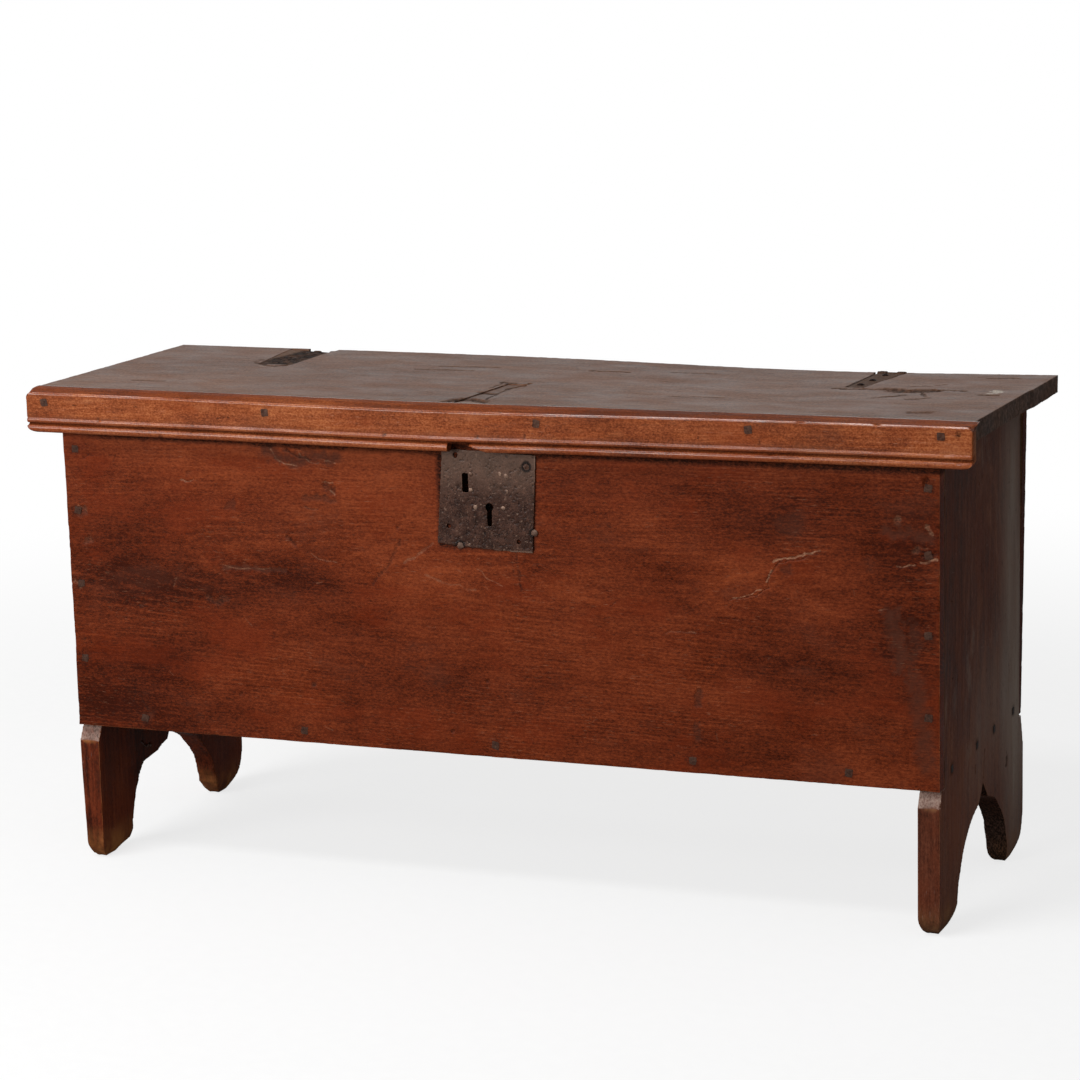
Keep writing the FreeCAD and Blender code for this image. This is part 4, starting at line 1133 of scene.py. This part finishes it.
# Sag of its corner below the lid's edge, more to the left end, and of its foot
NOSE_HOLLOW = (2.2, -60, 260)
NOSE_TILT = 0.8
FOOT_HOLLOW = (3.1, 0, 330)
# Empty nail holes painted as dark spots of shade: x, z and radius
HOLE_SHADES = ((543, 550, 4.0), (4, 532, 2.8))


def arc_points(start, end, radius, count):
    """Points of an arc that bulges to the right of the way from start to end."""
    start, end = np.array(start, float), np.array(end, float)
    chord = end - start
    length = np.linalg.norm(chord)
    out = np.array([chord[1], -chord[0]]) / length
    centre = (start + end) / 2 - out * np.sqrt(max(radius ** 2 - length ** 2 / 4, 0))
    first, last = start - centre, end - centre
    angles = np.linspace(np.arctan2(first[1], first[0]), np.arctan2(last[1], last[0]), count)
    return [centre + radius * np.array([np.cos(angle), np.sin(angle)]) for angle in angles]


def line_points(start, end, count):
    return [np.array(start) + (np.array(end) - np.array(start)) * share
            for share in np.linspace(0, 1, count, endpoint=False)]


def moulding_profile(thick, height):
    """Reach to the front and rise of the moulding's outline, in millimetres."""
    size = MOULDING
    bead = thick - size["bead_setback"]
    quirk = (bead - size["quirk_depth"], size["bead_height"] + size["quirk_height"] / 2)
    reed = thick - size["reed_setback"]
    reed_foot = size["bead_height"] + size["quirk_height"]
    reed_top = reed_foot + size["reed_height"]
    fascia = thick - size["fascia_setback"]
    lean = np.radians(size["nose_lean"])
    nose_top = np.array((fascia - size["nose_width"] * np.sin(lean), height - size["nose_drop"]))
    nose_foot = np.array((fascia, nose_top[1] - size["nose_width"] * np.cos(lean)))
    cap = np.array((-size["cap"], height))
    outline = line_points((0, 0), (bead, 0), 5)
    outline += arc_points((bead, 0), (bead, size["bead_height"]), size["bead_radius"], 9)
    outline += [np.array(quirk)]
    outline += arc_points((reed, reed_foot), (reed, reed_top), size["reed_radius"], 7)
    outline += line_points((fascia, reed_top + size["step"]), nose_foot - (0, 0.5), 8)
    outline += [nose_foot - (0, 0.5)]
    outline += arc_points(nose_foot, nose_top, size["nose_radius"], 7)
    outline += line_points(nose_top + (cap - nose_top) * 0.015, cap, 9)
    outline += line_points(cap, (0, height - CAP_BED), 3)
    outline += line_points((0, height - CAP_BED), (0, 0), 6)
    return np.array(outline)


def moulding_drop(points):
    """Sag of the moulding: with the lid at its back, deeper at its corner and at its foot."""
    low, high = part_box("lid_front_moulding")
    across = points[:, X]
    share = np.clip((points[:, Z] - low.z) / (high.z - low.z), 0, 1)
    reach = np.clip((high.y - points[:, Y]) / (high.y - low.y), 0, 1)
    foot = (2.4 + 0.9 * step(-across, 0.2, 0.5) + 2.4 * step(-across, -0.15, 0.1)) * MM
    foot += hollow(across, FOOT_HOLLOW)
    nose = hollow(across, NOSE_HOLLOW) - NOSE_TILT * MM * across / high.x
    foot *= 0.3 + 0.7 * step(reach, 0.15, 0.35)
    return share * hollow(across, FRONT_HOLLOW) + (1 - share) * foot + reach * step(share, 0.5, 0.8) * nose


def notch_floor(across):
    """Height of the moulding's foot: cut away at the notch and broken off slantwise beside it."""
    low, high = NOTCH
    if low < across < high:
        return NOTCH_HEIGHT
    return max(0.0, BREAK_HEIGHT - BREAK_FALL * (across - high)) if across >= high else 0.0


def moulding_rows(half):
    """Place along the moulding and inset of each row of its mesh."""
    rows = [(across, 0) for across in np.arange(-half + 10, half - 9, ROW_PITCH).tolist()]
    rows += [(side + way * NOTCH_LIP, 0) for side in NOTCH for way in (-1, 1)]
    rows += [(way * (half - run), inset) for way in (-1, 1) for run, inset in END_ROWS]
    return sorted(rows)


def run_moulding(low, high):
    """The moulding before it is worn: its outline carried along it, with the notch and rounded ends."""
    thick = (high.y - low.y) / MM
    height = (high.z - low.z) / MM
    half = high.x / MM
    profile = moulding_profile(thick, height)
    count = len(profile)
    tangent = np.roll(profile, -1, axis=0) - np.roll(profile, 1, axis=0)
    outward = np.column_stack([tangent[:, 1], -tangent[:, 0]])
    outward /= np.linalg.norm(outward, axis=1)[:, None]
    grid = []
    for across, inset in moulding_rows(half):
        reach, rise = (profile - outward * inset).T
        bend = 1 - np.sqrt(1 - max(0.0, 1 - (half - abs(across)) / MOULDING["corner_run"]) ** 2)
        reach = np.minimum(reach, thick)
        crown = height - MOULDING["corner_top"] * bend * np.clip(reach / thick, 0, 1)
        rise = np.maximum(np.clip(rise, MOULDING["corner_foot"] * bend, crown), notch_floor(across))
        grid.append(np.column_stack([np.full(count, across * MM), high.y - reach * MM, low.z + rise * MM]))
    bm = bmesh.new()
    rows = [[bm.verts.new(point) for point in row] for row in grid]
    for row, beside in zip(rows[:-1], rows[1:]):
        for index in range(count):
            after = (index + 1) % count
            bm.faces.new((row[index], row[after], beside[after], beside[index]))
    bm.faces.new(rows[0][::-1])
    bm.faces.new(rows[-1])
    bmesh.ops.recalc_face_normals(bm, faces=bm.faces)
    bmesh.ops.triangulate(bm, faces=[face for face in bm.faces if len(face.verts) > 4])
    piece = built("run_moulding", bm)
    piece.data.shade_smooth()
    return piece, np.concatenate(grid)


def moulding(material):
    low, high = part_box("lid_front_moulding")
    piece, points = run_moulding(low, high)
    mesh = piece.data
    normals = normals_of(mesh)
    seed = 47
    front = step(-points[:, Y], -high.y + 1 * MM, -high.y + 4 * MM)
    waves = 0.2 * MM * np.maximum(1 + fractal(points, (60 * MM, 12 * MM, 12 * MM), seed), 0)
    nicks = dents(points, 260, low, high, (1.5, 5), (0.3, 1.3), seed + 1)
    ends = 0.3 * MM * step(np.abs(points[:, X]), high.x - 4 * MM, high.x)
    ends *= np.clip(fractal(points, 7 * MM, seed + 2), 0, 1)
    moved = points - normals * (front * (waves + nicks) + ends)[:, None]
    moved[:, X] = np.clip(moved[:, X], low.x, high.x)
    moved[:, Z] -= moulding_drop(points)
    rim = points[:, Y] > high.y + 0.7 * MOULDING["cap"] * MM
    moved[:, Y] += 3 * MM * rim * fractal(points, (30 * MM, 900 * MM, 900 * MM), seed + 4)
    move_points(mesh, moved)
    # Painted shade in the quirk above the bead and in the notch
    quirk_shade = np.exp(-((points[:, Z] - low.z - 9 * MM) / (1.1 * MM)) ** 2)
    quirk_shade *= step(-points[:, Y], -high.y + 8 * MM, -high.y + 9 * MM)
    notch_shade = ((points[:, X] > (NOTCH[0] - 1) * MM) & (points[:, X] < (NOTCH[1] + 1) * MM)
               & (points[:, Z] < low.z + 10 * MM))
    wear = 0.3 * step(fractal(points, (24 * MM, 5 * MM, 5 * MM), seed + 3), 0.25, 0.6)
    dark = 0.85 * quirk_shade + 0.5 * notch_shade + 0.7 * step(nicks, 0.3 * MM, 1.0 * MM)
    for place in nail_heads("moulding_nails", Y, -1):
        distance = np.linalg.norm(points - place, axis=1)
        dark = np.maximum(dark, 0.4 * step(-distance, -7 * MM, -4 * MM))
    # Painted shade of the empty nail holes
    for across, rise, radius in HOLE_SHADES:
        away = np.hypot(points[:, X] - across * MM, points[:, Z] - rise * MM)
        dark = np.maximum(dark, step(-away, -radius * MM, -0.5 * radius * MM))
    polish = (1 - step(normals[:, Z], 0.72, 0.86)) * (1 - quirk_shade) * (1 - 0.8 * step(normals[:, X], 0.3, 0.7))
    polish *= 0.6 + 0.4 * step(fractal(points, (40 * MM, 6 * MM, 6 * MM), seed + 5), -0.3, 0.3)
    polish *= 1 - 0.4 * step(-points[:, Z], -low.z - 17 * MM, -low.z - 15 * MM)
    # The top is painted a little darker: painted shade
    paint(mesh, dark=dark, wear=wear, polish=polish, shade=0.5 - 0.07 * step(normals[:, Z], 0.8, 0.95),
          raw=step(points[:, Y], high.y - 1 * MM, high.y) * (points[:, Z] < high.z - 2 * MM))
    place_piece(piece, "lid", "lid_front_moulding", material)


# Iron

def forged(node, body, slot, voxel, lumps, pits, seed, bend=None, sheen=None, soil=None, spread=1.0):
    """An iron piece with a hammered, pitted skin in the node's shape."""
    piece = remeshed(f"forged_{node}", welded(node), voxel, sharp=False)
    mesh = piece.data
    points = points_of(mesh)
    normals = normals_of(mesh)
    hammer = lumps * MM * (1 + fractal(points, 9 * MM, seed))
    holes = pits * MM * step(fractal(points, 2.4 * MM, seed + 1, 2), 0.25, 0.7)
    edge = step(convexity(mesh, voxel, 2), 0.03, 0.15)
    moved = points - normals * (hammer + holes + 0.25 * MM * edge)[:, None]
    if bend is not None:
        moved[:, Z] -= bend(points)
    inner = points[:, X].max()
    moved[:, X] = inner + (moved[:, X] - inner) * spread
    move_points(mesh, moved)
    wear = 0.6 * edge * np.clip(0.5 + fractal(points, 7 * MM, seed + 2), 0, 1)
    # The sheen given to a piece is painted into its wear: a painted sheen and glints
    if sheen is not None:
        wear = np.maximum(wear, sheen(points))
    dark = 0.6 * step(holes, 0.3 * pits * MM, pits * MM)
    if soil is not None:
        dark = np.maximum(dark, soil(points))
    paint(mesh, wear=wear, dark=dark)
    place_piece(piece, body, node, IRON[slot])


def nail_piece(node, body, face, style, seed, drop=None, kind="wrought", slot="nail_iron"):
    """A group of nails with uneven hammered heads and square shanks, one for each solid of the node."""
    axis, way = face
    rng = np.random.default_rng(seed)
    bm = bmesh.new()
    for part in loose_parts(node):
        low, high = part.min(0), part.max(0)
        head = (low + high) / 2
        head[axis] = high[axis] if way > 0 else low[axis]
        length = high[axis] - low[axis]
        if drop is not None:
            head[Z] -= drop(head[None])[0]
        add_nail(bm, head, axis, way, length, style, rng)
    bmesh.ops.recalc_face_normals(bm, faces=bm.faces)
    piece = built(f"{kind}_{node}", bm)
    mottled = fractal(points_of(piece.data), 3 * MM, seed)
    # Heads are painted pale by their bright share: rubbed iron with a painted glint
    paint(piece.data, wear=style["bright"] * np.clip(0.45 + mottled, 0, 1),
          dark=style["dark"] * np.clip(1 + 0.5 * mottled, 0, 1))
    place_piece(piece, body, node, IRON[slot])


def add_nail(bm, top, axis, way, length, style, rng):
    """One nail whose head's crown lies at top; style gives the head's half width, rise and sides."""
    sides = style["sides"]
    half, rise, sunk, shank, sink = (style[name] * MM for name in ("half", "rise", "sunk", "shank", "sink"))
    turn = rng.uniform(-style["skew"], style["skew"])
    angles = turn + np.arange(sides) * 2 * np.pi / sides
    square = 1 / np.maximum(np.abs(np.cos(angles - turn)), np.abs(np.sin(angles - turn))) ** style["square"]
    uneven = rng.uniform(0.86, 1.06, sides)
    levels = [(-length, 0.15 * shank), (-rise - sunk, shank), (-rise - sunk, 0.9 * half),
              (-style["rim"] * rise, half), (-0.45 * style["rim"] * rise, 0.72 * half), (0.0, 0.3 * half)]
    first, second = [other for other in (X, Y, Z) if other != axis]
    rings = []
    for level, radius in levels:
        ring = []
        for angle, stretch, wobble in zip(angles, square, uneven):
            point = np.array(top, float)
            point[axis] += way * (level - sink)
            point[first] += radius * stretch * wobble * np.cos(angle)
            point[second] += radius * stretch * wobble * np.sin(angle)
            ring.append(bm.verts.new(point))
        rings.append(ring)
    for lower, upper in zip(rings[:-1], rings[1:]):
        for index in range(sides):
            after = (index + 1) % sides
            bm.faces.new((lower[index], lower[after], upper[after], upper[index]))
    bm.faces.new(rings[0])
    bm.faces.new(rings[-1])


# Nails, in millimetres: half the head's width, its rise, how deep it and its crown lie, its rim and shape,
# and how dark it is and how much of its head is painted pale: rubbed iron with a painted glint
BOARD_NAIL = dict(half=4.5, rise=0.5, sunk=0.9, shank=1.8, sides=16, square=0.8, skew=0.25, sink=0.2, rim=0.3,
                  dark=0.3, bright=0.2)
END_NAIL = dict(BOARD_NAIL, dark=0.9)
MOULDING_NAIL = dict(BOARD_NAIL, sink=0.95, dark=0.15)
ROSE_NAIL = dict(half=3.8, rise=1.6, sunk=0.4, shank=1.6, sides=8, square=0.3, skew=3.0, sink=0.0, rim=0.8,
                 dark=0.2, bright=0.9)
PLATE_NAIL = dict(ROSE_NAIL, half=4.2, dark=0.25)
STRAP_NAIL = dict(ROSE_NAIL, half=4.4, rise=2.2, sink=-1.2, dark=1.0, bright=0.3)
RIVET = dict(half=2.6, rise=0.7, sunk=0.1, shank=1.4, sides=12, square=0.0, skew=3.0, sink=0.0, rim=0.8,
             dark=0.0, bright=1.3)

# Height above the pin to which the straps' and the right plate's knuckles are worn down
KNUCKLE_CROWN = 1.8
PLATE_CROWN = 3.5
# Rise of the left strap to its outer edge and of the lock plate to its top
LEFT_TILT = 2.3
PLATE_RISE = 3.2


def strap_bend(points):
    """The straps sink with the lid where it is hollowed below them; their knuckles are worn flat."""
    low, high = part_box("left_hinge_strap")
    pin_low, pin_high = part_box("left_hinge_pin")
    sunk = LID_TOP - high.z - 0.4 * MM
    root = high.y - 12 * MM
    flat = step(-points[:, Y], -root, -root + 7 * MM)
    crown = np.maximum(points[:, Z] - (pin_low.z + pin_high.z) / 2 - KNUCKLE_CROWN * MM, 0)
    tilt = LEFT_TILT * MM * np.clip((high.x - points[:, X]) / (high.x - low.x), 0, 1) * (points[:, X] < 0)
    return (np.maximum(lid_hollow(points) - sunk, 0) - tilt) * flat + crown * (1 - flat)


def rust_share(points):
    """How much of the left strap's rusty part each place belongs to: y and x of its worn outer side."""
    side = np.interp(points[:, Y], np.array((57, 100, 182)) * MM, np.array((-391, -384, -380)) * MM)
    return step(points[:, X] + 4 * MM * fractal(points, 12 * MM, 63), side - 4 * MM, side + 4 * MM)


# Painted sheen: the left strap outside its rust, and all of the right strap, are painted pale like the lid,
# partly rubbed iron
def left_strap_sheen(points):
    flecks = step(fractal(points, 4 * MM, 64), 0.15, 0.4)
    return np.where(points[:, X] < 0, np.maximum(0.8 * (1 - rust_share(points)), 0.7 * flecks), 0.3)


def left_strap_soil(points):
    rust = step(fractal(points, 5 * MM, 65), -0.3, 0.1)
    return np.where(points[:, X] < 0, 0.9 * rust * rust_share(points), 0)


def plate_rise(points):
    """The lock plate's top reaches up to the moulding."""
    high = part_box("lock_plate")[1]
    return -PLATE_RISE * MM * step(points[:, Z], high.z - 14 * MM, high.z)


def plate_sheen(points):
    """The lock plate is painted lighter to its top, along its lower and right edges and in small flecks: a
    painted sheen and glints, partly rubbed iron.
    """
    low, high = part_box("lock_plate")
    share = (points[:, Z] - low.z) / (high.z - low.z)
    across = (points[:, X] - low.x) / (high.x - low.x)
    rim = np.maximum(step(-share, -0.03, -0.005), 0.7 * step(across, 0.975, 0.995))
    flecks = step(fractal(points, 2.0 * MM, 75, 2), 0.5, 0.7)
    return np.maximum(0.3 * step(share, 0.45, 0.95) + 0.6 * rim, 0.55 * flecks)


def worn_knuckles(points):
    """The right hinge plate's knuckles are worn down almost to the pin."""
    low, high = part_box("right_hinge_pin")
    return np.maximum(points[:, Z] - (low.z + high.z) / 2 - PLATE_CROWN * MM, 0)


def plate_soil(points):
    """Dark rings on the lock plate around its nails."""
    dark = np.zeros(len(points))
    for place in nail_heads("lock_plate_nails", Y, -1):
        away = np.hypot(points[:, X] - place[X], points[:, Z] - place[Z])
        dark = np.maximum(dark, step(-away, -7 * MM, -5 * MM))
    return dark


PLATE_BEND = {"left": None, "right": worn_knuckles}
# Height of the hammer marks and depth of the rust pits on each strap
STRAP_SKIN = {"left": (0.3, 1.1), "right": (0.12, 0.3)}
# How much wider the left strap's rust spreads it, and the nails in each strap
STRAP_SPREAD = {"left": 1.06, "right": 1.0}
STRAP_NAILS = {"left": dict(STRAP_NAIL, half=3.4, rise=0.6, sink=0.6), "right": STRAP_NAIL}


# Stage

def camera():
    data = bpy.data.cameras.new("camera")
    data.lens = 114.087
    data.sensor_width = 36
    data.sensor_fit = "HORIZONTAL"
    piece = link("camera", data)
    right = Vector((0.92879885, 0.36988357, -0.02277814))
    up = Vector((-0.05035378, 0.18685896, 0.98109542))
    forward = Vector((-0.36714738, 0.91009333, -0.19217942))
    turn = Matrix((right, up, -forward)).transposed().to_4x4()
    piece.matrix_world = Matrix.Translation((1.44399, -3.58778, 1.13237)) @ turn
    scene.camera = piece


def lamp(name, place, aim, size, power):
    data = bpy.data.lights.new(name, "AREA")
    data.shape = "RECTANGLE"
    data.size, data.size_y = size
    data.energy = power
    piece = link(name, data)
    piece.location = place
    piece.rotation_euler = (Vector(aim) - Vector(place)).to_track_quat("-Z", "Y").to_euler()


def seen_rays(wires):
    """Kinds of rays, and 1 for those that show the background itself: camera, mirror and glass rays."""
    rays = wires.add("ShaderNodeLightPath").outputs
    mirrored = wires.math("MAXIMUM", rays["Is Camera Ray"], rays["Is Glossy Ray"])
    return rays, wires.math("MAXIMUM", mirrored, rays["Is Transmission Ray"])


AMBIENT = 0.30


def studio_world():
    """White for the camera; for mirror rays bright low behind the chest and dim elsewhere; soft ambient."""
    world = bpy.data.worlds.new("studio")
    scene.world = world
    world.use_nodes = True
    wires = Wiring(world.node_tree)
    rays, seen = seen_rays(wires)
    parts = wires.parts(wires.add("ShaderNodeTexCoord").outputs["Generated"])
    behind = wires.math("MULTIPLY_ADD", parts["X"], -0.6, parts["Y"])
    graded = wires.remap(behind, -0.3, 1.1, 0.04, 1.0, "LINEAR")
    low_band = wires.remap(parts["Z"], 0.3, 0.6, 1.0, 0.12, "LINEAR")
    shown = wires.math("MAXIMUM", wires.math("MULTIPLY", graded, low_band), rays["Is Camera Ray"])
    level = wires.add("ShaderNodeMix", {0: seen, 2: AMBIENT, 3: shown})
    back = wires.tree.nodes["Background"]
    wires.feed(back.inputs["Color"], (1, 1, 1, 1))
    wires.feed(back.inputs["Strength"], level.outputs[0])


# The floor's radius, the distances between which it fades into the white, and its brightness
FLOOR_RADIUS = 14
FLOOR_FADE = (0.9, 2.4)
FLOOR_GLOW = 0.75
FLOOR_GREYS = ((0.3, (0.27, 0.27, 0.27, 1)), (0.7, (0.29, 0.29, 0.29, 1)))


def studio_floor():
    """Pale floor that keeps the chest's shadow and fades into the white background."""
    bm = bmesh.new()
    bmesh.ops.create_circle(bm, cap_ends=True, segments=96, radius=FLOOR_RADIUS)
    piece = built("floor", bm)
    paint_ = Paint("floor")
    add, math = paint_.add, paint_.math
    paint_.tree.nodes.remove(paint_.shader)
    rays, seen = seen_rays(paint_)
    distance = add("ShaderNodeVectorMath", {0: paint_.place}, operation="LENGTH").outputs["Value"]
    far = paint_.remap(distance, *FLOOR_FADE)
    ahead = paint_.remap(paint_.parts(paint_.place)["Y"], -0.5, 1.5, 0.02, 0.07)
    grain = paint_.noise(paint_.place, (60, 60, 60), 3.0)
    diffuse = add("ShaderNodeBsdfDiffuse", {"Color": paint_.ramp(grain, *FLOOR_GREYS)})
    shown = math("MAXIMUM", math("MULTIPLY", ahead, rays["Is Glossy Ray"]), rays["Is Camera Ray"])
    glow = add("ShaderNodeEmission", {"Strength": math("MULTIPLY", shown, FLOOR_GLOW)})
    lit = add("ShaderNodeAddShader", {0: diffuse.outputs[0], 1: glow.outputs[0]})
    white = add("ShaderNodeEmission", {"Strength": shown})
    fade = math("MULTIPLY", far, seen)
    mixed = add("ShaderNodeMixShader", {0: fade, 1: lit.outputs[0], 2: white.outputs[0]})
    paint_.feed(paint_.tree.nodes["Material Output"].inputs["Surface"], mixed.outputs[0])
    piece.data.materials.append(paint_.material)


# Assembly
END_FINISH = {"left": end_wood("left_end_wood", LEFT_END_PALETTE),
              "right": end_wood("right_end_wood", END_PALETTE)}
lid_finish = lid_wood()
front_finish = front_wood()
IRON = {
    "hinge_iron": iron("hinge_iron", STRAP_PALETTE, gloss=(0.6, 0.85), metallic=0.0, specular=0.1),
    "plate_iron": iron("plate_iron", PLATE_PALETTE, gloss=(0.3, 0.5), metallic=0.1, specular=0.2),
    "works_iron": iron("works_iron", WORKS_PALETTE, gloss=(0.4, 0.6), metallic=0.6, specular=0.5),
    "nail_iron": iron("nail_iron", NAIL_PALETTE, gloss=(0.4, 0.6), metallic=0.0, specular=0.12),
}
SIDES = {"left": -1, "right": 1}

front_board(front_finish)
for side, way in SIDES.items():
    end_board(side, way, END_FINISH[side])
plain_board("back_board", (X, Z), (Y, 1), 53, front_finish)
plain_board("bottom_board", (X, Y), (Z, 1), 59, lid_finish)
lid_board(lid_finish)
moulding(moulding_wood())

for side, way in SIDES.items():
    forged(f"{side}_hinge_strap", "lid", "hinge_iron", 1.0 * MM, *STRAP_SKIN[side], 61, strap_bend,
           left_strap_sheen, left_strap_soil, STRAP_SPREAD[side])
    forged(f"{side}_hinge_plate", "case", "hinge_iron", 0.9 * MM, 0.12, 0.3, 67, PLATE_BEND[side])
    forged(f"{side}_hinge_pin", "case", "hinge_iron", 0.5 * MM, 0.04, 0.1, 71)
    nail_piece(f"{side}_strap_nails", "lid", (Z, 1), STRAP_NAILS[side], 5, strap_bend)
    nail_piece(f"{side}_hinge_plate_nails", "case", (Y, 1), ROSE_NAIL, 6)
    nail_piece(f"{side}_end_nails", "case", (X, way), END_NAIL, 7)
nail_piece("front_board_nails", "case", (Y, -1), BOARD_NAIL, 8)
nail_piece("back_board_nails", "case", (Y, 1), BOARD_NAIL, 9)
nail_piece("moulding_nails", "lid", (Y, -1), MOULDING_NAIL, 10, moulding_drop)
nail_piece("lock_plate_nails", "case", (Y, -1), PLATE_NAIL, 13)
nail_piece("lock_rivets", "case", (Y, -1), RIVET, 12, kind="peened", slot="plate_iron")
forged("lock_plate", "case", "plate_iron", 0.8 * MM, 0.1, 0.35, 73, plate_rise, plate_sheen, plate_soil)
for node, body in {"lock_bolt": "bolt", "bolt_guides": "case", "bolt_spring": "case",
                   "key_bridge": "case"}.items():
    forged(node, body, "works_iron", 0.4 * MM, 0.03, 0.08, 79)

studio_world()
studio_floor()
lamp("overhead", place=(-1.05, -1.5, 2.7), aim=(-1.05, 0, 0.4), size=(2.3, 0.5), power=30)
lamp("front_left", place=(-1.7, -3.3, 1.5), aim=(0, 0, 0.35), size=(2.4, 1.8), power=86)
camera()
scene.view_settings.view_transform = "Standard"
